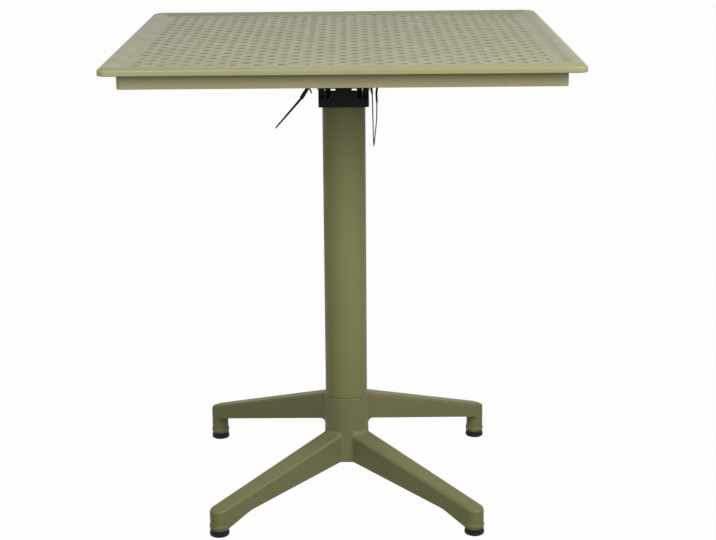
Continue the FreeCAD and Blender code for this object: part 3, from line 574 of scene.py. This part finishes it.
def carried_round(section: np.ndarray, radius: np.ndarray, side_steps: int, corner_steps: int) -> np.ndarray:
    """Carry a section round squares: each of its points goes round a square at its own height.

    Args:
        section: Distance from the middle, and height, one row each.
        radius: Corner radius at each point of the section.
        side_steps: Steps along each side.
        corner_steps: Steps round each corner.

    Returns:
        The points, as rows of the section by places round the square by three.
    """
    plan = rounded_square(section[:, 0], radius, side_steps, corner_steps)
    level = np.broadcast_to(section[:, 1][:, None, None], (*plan.shape[:2], 1))
    return np.concatenate([plan, level], axis=-1)


@dataclass
class TableTop:
    """The moulded top: a field with drain holes, a rim, a lip, and the skirt under it."""

    materials: dict[Slot, bpy.types.Material]
    height: float = 755 * MM
    half: float = 340 * MM
    rim: float = 30 * MM
    slope: float = 13 * MM
    recess: float = 4 * MM
    sheet: float = 3 * MM
    lip: float = 12 * MM
    lip_wall: float = 4 * MM
    corner: float = 12 * MM
    field_corner: float = 5 * MM
    crown: float = 14 * MM
    drop: float = 5.5 * MM
    lower_round: float = 1.5 * MM
    pitch: float = 17.1 * MM
    reach: int = 17
    hole: float = 5.6 * MM
    hole_edge: float = 0.7 * MM
    hole_draft: float = 0.25 * MM
    side_steps: int = 3
    ramp_steps: int = 9
    crown_steps: int = 13
    round_steps: int = 5
    corner_steps: int = 6
    crisp: float = 35.0
    skirt_half: float = 316 * MM
    skirt_wall: float = 3 * MM
    skirt_drop: float = 22 * MM
    skirt_corner: float = 6 * MM
    skirt_round: float = 0.9 * MM
    skirt_side_steps: int = 4
    skirt_corner_steps: int = 8
    skirt_crisp: float = 40.0

    def build(self) -> None:
        """Make the panel and the skirt."""
        points, faces = joined([self.holed_tiles(), self.plain_tiles(), self.border()])
        panel = new_piece("perforated_top", *welded(points, faces))
        # The walls of the holes get painted shade
        self.shade_hole_walls(panel)
        smooth(panel, self.crisp)
        dress(panel, Slot.OLIVE_PLASTIC, self.materials)
        fit(panel, Body.TOP.value, Slot.OLIVE_PLASTIC, "table_top")
        skirt = self.skirt()
        smooth(skirt, self.skirt_crisp)
        dress(skirt, Slot.OLIVE_PLASTIC, self.materials)
        fit(skirt, Body.TOP.value, Slot.OLIVE_PLASTIC, "top_skirt")

    @property
    def levels(self) -> tuple[float, float]:
        """Upper and lower face of the field."""
        upper = self.height - self.recess
        return upper, upper - self.sheet

    @property
    def grid(self) -> float:
        """Half width of the grid of tiles."""
        return (self.reach + 0.5) * self.pitch

    def tile_places(self, holed: bool) -> np.ndarray:
        """Centres of the tiles with holes, or of those without, which change about like a chessboard.

        Args:
            holed: Whether the tiles have holes.

        Returns:
            X and Y of the centres, one row each.
        """
        steps = np.arange(-self.reach, self.reach + 1)
        columns, rows = np.meshgrid(steps, steps, indexing="ij")
        chosen = ((columns + rows) % 2 == 0) == holed
        return np.column_stack([columns[chosen], rows[chosen]]) * self.pitch

    def tile_edge(self) -> np.ndarray:
        """Points round one tile, anticlockwise from its lower left corner.

        Returns:
            X and Y of the points, one row each.
        """
        run = np.arange(self.side_steps) / self.side_steps * 2 - 1
        side = np.column_stack([run, np.full(self.side_steps, -1.0)])
        return np.vstack(quarter_turns(side)) * self.pitch / 2

    def holed_tiles(self) -> Surface:
        """Tiles with a hole: rings of points go from the edge in to the hole, down it and out again.

        Like the edge, the rings start at the lower left.

        Returns:
            The points and the faces.
        """
        upper, lower = self.levels
        edge = self.tile_edge()
        count = len(edge)
        angle = -0.75 * math.pi + np.arange(count) * 2 * math.pi / count
        circle = np.column_stack([np.cos(angle), np.sin(angle)])
        rings = [
            (edge, upper),
            (circle * (self.hole + self.hole_edge), upper),
            (circle * self.hole, upper - self.hole_edge),
            (circle * (self.hole - self.hole_draft), lower),
            (edge, lower),
        ]
        tile = np.stack([np.column_stack([plan, np.full(count, z)]) for plan, z in rings])
        return self.laid_out(tile.reshape(-1, 3), grid_faces(len(rings), count, False, True), True)

    def plain_tiles(self) -> Surface:
        """Tiles without a hole: a small grid above and the same grid, turned over, below.

        Returns:
            The points and the faces.
        """
        run = np.linspace(-1, 1, self.side_steps + 1) * self.pitch / 2
        x, y = np.meshgrid(run, run, indexing="ij")
        sides = [np.column_stack([x.ravel(), y.ravel(), np.full(x.size, z)]) for z in self.levels]
        faces = grid_faces(len(run), len(run), False, False)
        return self.laid_out(np.vstack(sides), np.vstack([faces[:, ::-1], faces + x.size]), False)

    def laid_out(self, tile: np.ndarray, faces: np.ndarray, holed: bool) -> Surface:
        """Repeat one tile over its places.

        Args:
            tile: Points of the tile.
            faces: Its faces.
            holed: Whether it is the tile with a hole.

        Returns:
            The points and the faces of all the tiles.
        """
        places = self.tile_places(holed)
        shift = np.column_stack([places, np.zeros(len(places))])
        points = (shift[:, None, :] + tile[None]).reshape(-1, 3)
        numbers = faces[None] + (np.arange(len(places)) * len(tile))[:, None, None]
        return points, numbers.reshape(-1, 4)

    def shade_hole_walls(self, panel: bpy.types.Object) -> None:
        """Mark the walls of the holes, which get painted shade.

        Args:
            panel: The panel.
        """
        plan = points_of(panel.data)[:, :2]
        tile = np.round(plan / self.pitch)
        holed = (tile.sum(1) % 2 == 0) & (np.abs(tile).max(1) <= self.reach)
        inside = np.hypot(*(plan - tile * self.pitch).T) < self.hole + WELD
        mark(panel, HOLE_SHADE_MARK, holed & inside)

    def border_profile(self) -> np.ndarray:
        """Section of the rim and lip, from the field's upper face outwards and back under it.

        The share t of the slope climbs by 3 t^2 - 2 t^3 of the recess. The rim falls outwards in a
        quarter of an ellipse: at the angle a, the crown times sin a outwards, and the drop times
        cos a up.

        Returns:
            Distance from the middle, and height, one row each.
        """
        upper, lower = self.levels
        inner, top, bottom = self.half - self.rim, self.height, self.height - self.lip
        wall = self.half - self.lip_wall
        ramp = np.linspace(0.0, 1.0, self.ramp_steps)
        climb = upper + self.recess * (3 * ramp**2 - 2 * ramp**3)
        rise = np.column_stack([inner + self.slope * ramp, climb])
        turn = np.linspace(0.0, math.pi / 2, self.crown_steps)
        outwards = self.half - self.crown * (1 - np.sin(turn))
        shoulder = np.column_stack([outwards, top - self.drop * (1 - np.cos(turn))])
        heel = (self.half - self.lower_round, bottom + self.lower_round)
        throat = (wall - self.lower_round, lower - self.lower_round)
        return np.vstack(
            [
                [(self.grid, upper)],
                rise,
                shoulder,
                arc(heel, self.lower_round, 0, -90, self.round_steps),
                [(wall, bottom)],
                arc(throat, self.lower_round, 0, 90, self.round_steps),
                [(self.grid, lower)],
            ]
        )

    def border(self) -> Surface:
        """The rim and lip: their section carried round squares.

        The corners open from the field's radius to the lip's.

        Returns:
            The points and the faces.
        """
        profile = self.border_profile()
        distance = profile[:, 0]
        share = np.clip((distance - (self.half - self.rim)) / self.rim, 0, 1)
        radius = self.field_corner + (self.corner - self.field_corner) * share
        radius = np.where(distance <= self.grid + WELD, 0.0, radius)
        steps = self.side_steps * (2 * self.reach + 1)
        points = carried_round(profile, radius, steps, self.corner_steps)
        return points.reshape(-1, 3), grid_faces(*points.shape[:2], False, True)[:, ::-1]

    def skirt(self) -> bpy.types.Object:
        """The skirt: its section, with a rounded lower edge, carried round squares.

        Returns:
            The piece.
        """
        _, upper = self.levels
        low = self.height - self.lip - self.skirt_drop
        outer, inner = self.skirt_half, self.skirt_half - self.skirt_wall
        edge = self.skirt_round
        section = np.vstack(
            [
                [(outer, upper)],
                arc((outer - edge, low + edge), edge, 0, -90, self.round_steps),
                arc((inner + edge, low + edge), edge, -90, -180, self.round_steps),
                [(inner, upper)],
            ]
        )
        radius = self.skirt_corner + section[:, 0] - outer
        points = carried_round(section, radius, self.skirt_side_steps, self.skirt_corner_steps)
        faces = grid_faces(*points.shape[:2], True, True)[:, ::-1]
        return new_piece("skirt_wall", *welded(points.reshape(-1, 3), faces))


def turned(name: str, profile: np.ndarray, centre: tuple[float, float], steps: int) -> bpy.types.Object:
    """A turned piece: the profile point (r, z) goes to (r cos a, r sin a, z) about an upright axis.

    Args:
        name: Name of the piece.
        profile: Radius and height, one row each, closed on itself, up the outside first.
        centre: X and Y of the axis.
        steps: Steps round the axis.

    Returns:
        The piece.
    """
    angle = np.arange(steps) * 2 * math.pi / steps
    radius, level = profile[:, 0][:, None], profile[:, 1][:, None]
    x = centre[0] + radius * np.cos(angle)
    y = centre[1] + radius * np.sin(angle)
    points = np.stack([x, y, np.broadcast_to(level, x.shape)], -1).reshape(-1, 3)
    faces = grid_faces(len(profile), steps, True, True)
    return new_piece(name, *welded(points, faces))


@dataclass
class Column:
    """The round tube between the base and the tilt head."""

    materials: dict[Slot, bpy.types.Material]
    radius: float = 34.5 * MM
    wall: float = 2 * MM
    edge: float = 0.5 * MM
    seam: float = 1.8 * MM
    seam_depth: float = 1.5 * MM
    steps: int = 128
    round_steps: int = 4
    crisp: float = 40.0

    def build(self) -> None:
        """Turn the tube, set in at its foot so that the seam over the hub shows as a line."""
        low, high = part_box("column_tube")
        inner = self.radius - self.wall
        outer = self.radius - self.edge
        foot = self.radius - self.seam_depth
        profile = np.vstack(
            [
                [(foot, low.z), (foot, low.z + self.seam)],
                arc((outer, low.z + self.seam + self.edge), self.edge, -90, 0, self.round_steps),
                arc((outer, high.z - self.edge), self.edge, 0, 90, self.round_steps),
                [(inner, high.z), (inner, low.z)],
            ]
        )
        tube = turned("column", profile, (0.0, 0.0), self.steps)
        smooth(tube, self.crisp)
        dress(tube, Slot.OLIVE_PAINT, self.materials)
        fit(tube, Body.BASE.value, Slot.OLIVE_PAINT, "column_tube")


@dataclass
class Foot:
    """The pad of one levelling foot: a disc and a collar with a groove between them."""

    name: str
    materials: dict[Slot, bpy.types.Material]
    radius: float = 15.5 * MM
    height: float = 10.5 * MM
    disc: float = 5.7 * MM
    groove: float = 1.2 * MM
    waist: float = 13.8 * MM
    collar: float = 14.9 * MM
    lower_round: float = 2.2 * MM
    disc_round: float = 0.9 * MM
    collar_round: float = 0.5 * MM
    upper_round: float = 1.2 * MM
    socket: float = 4 * MM
    floor: float = 3.5 * MM
    steps: int = 48
    lower_steps: int = 7
    round_steps: int = 5
    collar_steps: int = 4
    crisp: float = 40.0

    def build(self) -> None:
        """Turn the pad."""
        low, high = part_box(f"foot_pad_{self.name}")
        centre = ((low.x + high.x) / 2, (low.y + high.y) / 2)
        shelf = self.disc + self.groove
        lower = (self.radius - self.lower_round, self.lower_round)
        rim = (self.radius - self.disc_round, self.disc - self.disc_round)
        ledge = (self.collar - self.collar_round, shelf + self.collar_round)
        crest = (self.collar - self.upper_round, self.height - self.upper_round)
        profile = np.vstack(
            [
                [(0.0, 0.0)],
                arc(lower, self.lower_round, -90, 0, self.lower_steps),
                arc(rim, self.disc_round, 0, 90, self.round_steps),
                [(self.waist, self.disc), (self.waist, shelf)],
                arc(ledge, self.collar_round, -90, 0, self.collar_steps),
                arc(crest, self.upper_round, 0, 90, self.round_steps),
                [(self.socket, self.height), (self.socket, self.floor), (0.0, self.floor)],
            ]
        )
        pad = turned(f"pad_{self.name}", profile, centre, self.steps)
        smooth(pad, self.crisp)
        dress(pad, Slot.FOOT_PLASTIC, self.materials)
        fit(pad, f"foot_{self.name}", Slot.FOOT_PLASTIC, f"foot_pad_{self.name}")


def strap(line: np.ndarray, across: np.ndarray, deep: np.ndarray, closed: bool) -> Surface:
    """A flat strap: a rounded oblong carried along a line in an upright plane.

    At the angle a the section lies at across * |cos a|^(1/2) sideways to the line in the plane, and at
    deep * |sin a|^(1/2) out of the plane, each with the sign of its sine or cosine.

    Args:
        line: Distance from the middle, place from front to back, and height, one row each.
        across: Half width in the plane at each point.
        deep: Half depth out of the plane at each point.
        closed: Whether the line's end joins its start.

    Returns:
        The points and the faces.
    """
    ahead, behind = np.roll(line, -1, axis=0), np.roll(line, 1, axis=0)
    if not closed:
        ahead[-1], behind[0] = line[-1], line[0]
    along = ahead - behind
    along /= np.linalg.norm(along, axis=1)[:, None]
    sideways = np.column_stack([along[:, 2], np.zeros(len(line)), -along[:, 0]])
    angle = np.arange(STRAP_STEPS) * 2 * math.pi / STRAP_STEPS
    cosine, sine = np.cos(angle), np.sin(angle)
    flat = (np.sign(cosine) * np.sqrt(np.abs(cosine)))[None, :, None]
    thick = (np.sign(sine) * np.sqrt(np.abs(sine)))[None, :, None]
    offset = sideways[:, None] * across[:, None, None] * flat
    depth = np.array([0.0, 1.0, 0.0]) * deep[:, None, None] * thick
    points = line[:, None] + offset + depth
    return points.reshape(-1, 3), grid_faces(len(line), len(angle), closed, True)[:, ::-1]


@dataclass
class CableTie:
    """A tie that is looped round the bracket plate's edge: a ring, and straps that hang from it.

    The knots of a strap give its distance from the middle, its height and its half width, in
    millimetres. The first strap has the head, between the two of its knots that are named.
    """

    name: str
    side: int
    place: float
    straps: tuple[Knots, ...]
    materials: dict[Slot, bpy.types.Material]
    head: tuple[int, int] = (1, 2)
    head_depth: float = 2 * MM
    strap_depth: float = 0.6 * MM
    ring_width: float = 1.5 * MM
    edge: float = 65 * MM
    slot: float = 58.8 * MM
    plate: tuple[float, float] = (726.8 * MM, 730.8 * MM)
    slack: float = 1.2 * MM
    steps: int = 8
    crisp: float = 50.0

    def build(self) -> None:
        """Carry the ring and the straps along their lines."""
        parts = [self.ring()]
        for number, knots in enumerate(self.straps):
            parts.append(self.hanging(np.array(knots) * MM, number == 0))
        tie = new_piece(f"{self.name}_strap", *welded(*joined(parts)))
        smooth(tie, self.crisp)
        dress(tie, Slot.BLACK_NYLON, self.materials)
        fit(tie, Body.TOP.value, Slot.BLACK_NYLON, self.name)

    def ring(self) -> Surface:
        """The loop round the strip of plate between the slot and the edge.

        Returns:
            The points and the faces.
        """
        low, high = self.plate[0] - self.slack, self.plate[1] + self.slack
        near, far = self.slot, self.edge + self.slack
        corners = np.array([(near, low), (near, high), (far, high), (far, low)])
        sides = zip(corners, np.roll(corners, -1, axis=0))
        line = np.concatenate([np.linspace(a, b, self.steps, endpoint=False) for a, b in sides])
        ones = np.ones(len(line))
        return strap(self.placed(line), ones * self.strap_depth, ones * self.ring_width, True)

    def placed(self, line: np.ndarray) -> np.ndarray:
        """Put a line of distances and heights into the tie's own upright plane.

        Args:
            line: Distance from the middle, and height, one row each.

        Returns:
            The points of the line.
        """
        return np.column_stack([self.side * line[:, 0], np.full(len(line), self.place), line[:, 1]])

    def hanging(self, knots: np.ndarray, headed: bool) -> Surface:
        """A strap from the ring down to its tip, straight from knot to knot.

        Args:
            knots: Distance from the middle, height and half width, one row each.
            headed: Whether the strap has the head.

        Returns:
            The points and the faces.
        """
        order = np.arange(len(knots))
        number = np.arange((len(knots) - 1) * self.steps + 1) / self.steps
        distance, height, across = (np.interp(number, order, column) for column in knots.T)
        first, last = self.head
        inside = headed & (number >= first) & (number <= last)
        deep = np.where(inside, self.head_depth, self.strap_depth)
        across[[0, -1]] = 0.0
        deep[[0, -1]] = 0.0
        return strap(self.placed(np.column_stack([distance, height])), across, deep, False)


# Each tie's side of the column, its place from front to back, and the knots of its straps
TIES: dict[str, tuple[int, float, tuple[Knots, ...]]] = {
    "cable_tie_left": (
        -1,
        6 * MM,
        (
            (
                (62.0, 726.4, 1.6),
                (57.6, 669.3, 2.8),
                (67.6, 653.8, 3.3),
                (68.6, 652.3, 2.0),
                (89.1, 628.9, 1.7),
                (111.6, 603.4, 1.1),
            ),
            ((60.5, 726.4, 1.2), (56.0, 671.0, 1.3), (53.4, 666.6, 1.3), (51.2, 660.5, 1.0)),
        ),
    ),
    "cable_tie_right_front": (
        1,
        2 * MM,
        (
            (
                (60.0, 726.4, 1.6),
                (43.6, 672.0, 2.3),
                (45.4, 660.5, 1.5),
                (45.7, 658.5, 1.0),
                (46.5, 617.6, 0.9),
                (47.6, 572.6, 0.8),
            ),
        ),
    ),
    "cable_tie_right_rear": (
        1,
        9 * MM,
        (
            (
                (60.0, 726.4, 2.6),
                (52.2, 659.0, 1.7),
                (53.0, 646.0, 1.6),
                (53.0, 643.5, 1.0),
                (52.4, 616.0, 0.9),
                (48.0, 572.6, 0.8),
            ),
        ),
    ),
}


@dataclass
class Castings:
    """Cast and pressed pieces, shown with their rounds shaded smooth."""

    materials: dict[Slot, bpy.types.Material]
    pieces: dict[str, tuple[str, Body, Slot]] = field(
        default_factory=lambda: {
            "base_casting": ("cast_base", Body.BASE, Slot.OLIVE_PAINT),
            "column_head": ("tilt_head", Body.BASE, Slot.BLACK_PAINT),
            "tilt_bracket": ("tilt_carrier", Body.TOP, Slot.BLACK_PAINT),
            "latch_lever": ("latch_arm", Body.LATCH, Slot.BLACK_PAINT),
        }
    )
    crisp: float = 32.0

    def build(self) -> None:
        """Copy each solid's surface, with its points merged, mark it for the paint's painted shade, and
        shade it smooth.
        """
        for node, (name, body, slot) in self.pieces.items():
            piece = self.surface_of(node, name)
            # Every point of a casting gets the paint's painted shade
            mark(piece, BASE_SHADE_MARK, np.ones(len(piece.data.vertices)))
            smooth(piece, self.crisp)
            dress(piece, slot, self.materials)
            fit(piece, body.value, slot, node)

    def surface_of(self, node: str, name: str) -> bpy.types.Object:
        """A copy of a node's surface as one joined skin.

        Args:
            node: The node.
            name: Name of the piece.

        Returns:
            The piece.
        """
        mesh = frame["nodes"][node].data
        points = points_of(mesh)
        corners = np.empty(len(mesh.loops), dtype=np.int64)
        mesh.loops.foreach_get("vertex_index", corners)
        first, number = merged(points)
        faces = number[corners.reshape(-1, 3)]
        whole = (faces != np.roll(faces, -1, axis=1)).all(1)
        return new_piece(name, points[first], faces[whole].tolist())


@dataclass
class Fittings:
    """The nodes of the solid model that are shown as they are."""

    materials: dict[Slot, bpy.types.Material]

    def build(self) -> None:
        """Give each node that still shows the finish that the record names."""
        slots = {part["node"]: Slot(part["material_slot"]) for part in frame["record"]["subparts"]}
        for name, node in frame["nodes"].items():
            if not node.hide_render:
                dress(node, slots[name], self.materials)
                log.info("%s: %s", name, slots[name].value)


@dataclass(frozen=True)
class Lamp:
    """A square soft lamp."""

    name: str
    place: Place
    width: float
    watts: float
    reflected: bool = True

    def build(self, aim: Place) -> None:
        """Set the lamp up so that it points at a place.

        Args:
            aim: What it points at.
        """
        light = bpy.data.lights.new(self.name, "AREA")
        light.shape = "SQUARE"
        light.size = self.width
        light.energy = self.watts
        lamp = bpy.data.objects.new(self.name, light)
        lamp.location = self.place
        towards = Vector(aim) - Vector(self.place)
        lamp.rotation_euler = towards.to_track_quat("-Z", "Y").to_euler()
        lamp.visible_glossy = self.reflected
        bpy.context.scene.collection.objects.link(lamp)


LAMPS: tuple[Lamp, ...] = (
    Lamp("right_lamp", (0.92, -1.1, 1.25), 0.8, 19.4),
    Lamp("left_lamp", (-0.54, -1.33, 1.25), 0.8, 14.8),
    Lamp("side_lamp", (1.4, -0.38, 1.6), 0.8, 5.0),
    Lamp("back_lamp", (0.0, 0.99, 2.4), 1.0, 3.5),
    Lamp("rear_fill", (0.0, 1.9, 0.95), 1.0, 18.0, reflected=False),
)


@dataclass
class Studio:
    """A pale floor, soft light from both sides, above and behind, and the camera."""

    place: Place = (0.0148, -2.5163, 1.0769)
    yaw: float = -0.0056
    pitch: float = 0.2492
    roll: float = 0.0091
    focal_pixels: float = 1592.8
    centre_pixels: tuple[float, float] = (345.4, 230.0)
    image: tuple[int, int] = (716, 540)
    sensor: float = 36.0
    aim: Place = (0.0, 0.0, 0.55)
    daylight: float = 0.02
    floor_half: float = 30.0
    floor_colour: Colour = (0.22, 0.22, 0.22)
    floor_roughness: float = 0.9
    floor_specular: float = 0.1
    floor_white: float = 0.98

    def build(self) -> None:
        """Set up the floor, the lights, the world and the camera."""
        self.floor()
        self.world()
        for lamp in LAMPS:
            lamp.build(self.aim)
        self.camera()
        bpy.context.scene.view_settings.view_transform = "Standard"

    def background(self, tree: bpy.types.NodeTree) -> bpy.types.NodeSocket:
        """A value of 1 for rays that show the background, straight, in gloss or through glass.

        Args:
            tree: The node tree that it goes into.

        Returns:
            The value.
        """
        path = tree.nodes.new("ShaderNodeLightPath")
        total = path.outputs["Is Camera Ray"]
        for name in ("Is Glossy Ray", "Is Transmission Ray"):
            add = tree.nodes.new("ShaderNodeMath")
            add.operation = "MAXIMUM"
            tree.links.new(total, add.inputs[0])
            tree.links.new(path.outputs[name], add.inputs[1])
            total = add.outputs[0]
        return total

    def floor(self) -> None:
        """A wide pale floor that shows white and keeps a little of the table's shadow."""
        half = self.floor_half
        corners = np.array([(-half, -half, 0.0), (half, -half, 0.0), (half, half, 0.0), (-half, half, 0.0)])
        floor = new_piece("studio_floor", corners, [[0, 1, 2, 3]])
        material = bpy.data.materials.new("pale_floor")
        material.use_nodes = True
        tree = material.node_tree
        shader = tree.nodes["Principled BSDF"]
        shader.inputs["Base Color"].default_value = (*self.floor_colour, 1.0)
        shader.inputs["Roughness"].default_value = self.floor_roughness
        shader.inputs["Specular IOR Level"].default_value = self.floor_specular
        glow = tree.nodes.new("ShaderNodeEmission")
        glow.inputs["Strength"].default_value = 1.0
        share = tree.nodes.new("ShaderNodeMath")
        share.operation = "MULTIPLY"
        share.inputs[1].default_value = self.floor_white
        tree.links.new(self.background(tree), share.inputs[0])
        mix = tree.nodes.new("ShaderNodeMixShader")
        tree.links.new(share.outputs[0], mix.inputs[0])
        tree.links.new(shader.outputs[0], mix.inputs[1])
        tree.links.new(glow.outputs[0], mix.inputs[2])
        tree.links.new(mix.outputs[0], tree.nodes["Material Output"].inputs["Surface"])
        floor.data.materials.append(material)

    def world(self) -> None:
        """An even pale sky that shows as white."""
        world = bpy.data.worlds.new("studio_sky")
        world.use_nodes = True
        tree = world.node_tree
        sky = tree.nodes["Background"]
        sky.inputs["Color"].default_value = WHITE
        sky.inputs["Strength"].default_value = self.daylight
        white = tree.nodes.new("ShaderNodeBackground")
        white.inputs["Color"].default_value = WHITE
        white.inputs["Strength"].default_value = 1.0
        mix = tree.nodes.new("ShaderNodeMixShader")
        tree.links.new(self.background(tree), mix.inputs[0])
        tree.links.new(sky.outputs[0], mix.inputs[1])
        tree.links.new(white.outputs[0], mix.inputs[2])
        tree.links.new(mix.outputs[0], tree.nodes["World Output"].inputs["Surface"])
        bpy.context.scene.world = world

    def camera(self) -> None:
        """A camera at the photograph's viewing angle: forward by yaw and pitch, then turned by the roll."""
        forward = np.array(
            [
                math.sin(self.yaw) * math.cos(self.pitch),
                math.cos(self.yaw) * math.cos(self.pitch),
                -math.sin(self.pitch),
            ]
        )
        level = np.array([math.cos(self.yaw), -math.sin(self.yaw), 0.0])
        down = np.cross(forward, level)
        right = math.cos(self.roll) * level + math.sin(self.roll) * down
        down = -math.sin(self.roll) * level + math.cos(self.roll) * down
        turn = Matrix(np.column_stack([right, -down, -forward]).tolist())
        lens = bpy.data.cameras.new("camera")
        width, height = self.image
        lens.sensor_fit = "HORIZONTAL"
        lens.sensor_width = self.sensor
        lens.lens = self.sensor * self.focal_pixels / width
        lens.shift_x = (width / 2 - self.centre_pixels[0]) / width
        lens.shift_y = (self.centre_pixels[1] - height / 2) / width
        camera = bpy.data.objects.new("camera", lens)
        camera.matrix_world = Matrix.Translation(self.place) @ turn.to_4x4()
        bpy.context.scene.collection.objects.link(camera)
        bpy.context.scene.camera = camera


def main() -> None:
    """Build the table and its studio."""
    logging.basicConfig(level=logging.INFO, format="%(name)s %(message)s")
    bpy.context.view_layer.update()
    materials = {slot: finish.material() for slot, finish in FINISHES.items()}
    TableTop(materials).build()
    Column(materials).build()
    Castings(materials).build()
    for name in FEET:
        Foot(name, materials).build()
    for name, (side, place, straps) in TIES.items():
        CableTie(name, side, place, straps, materials).build()
    Fittings(materials).build()
    Studio().build()


if __name__ == "__main__":
    main()
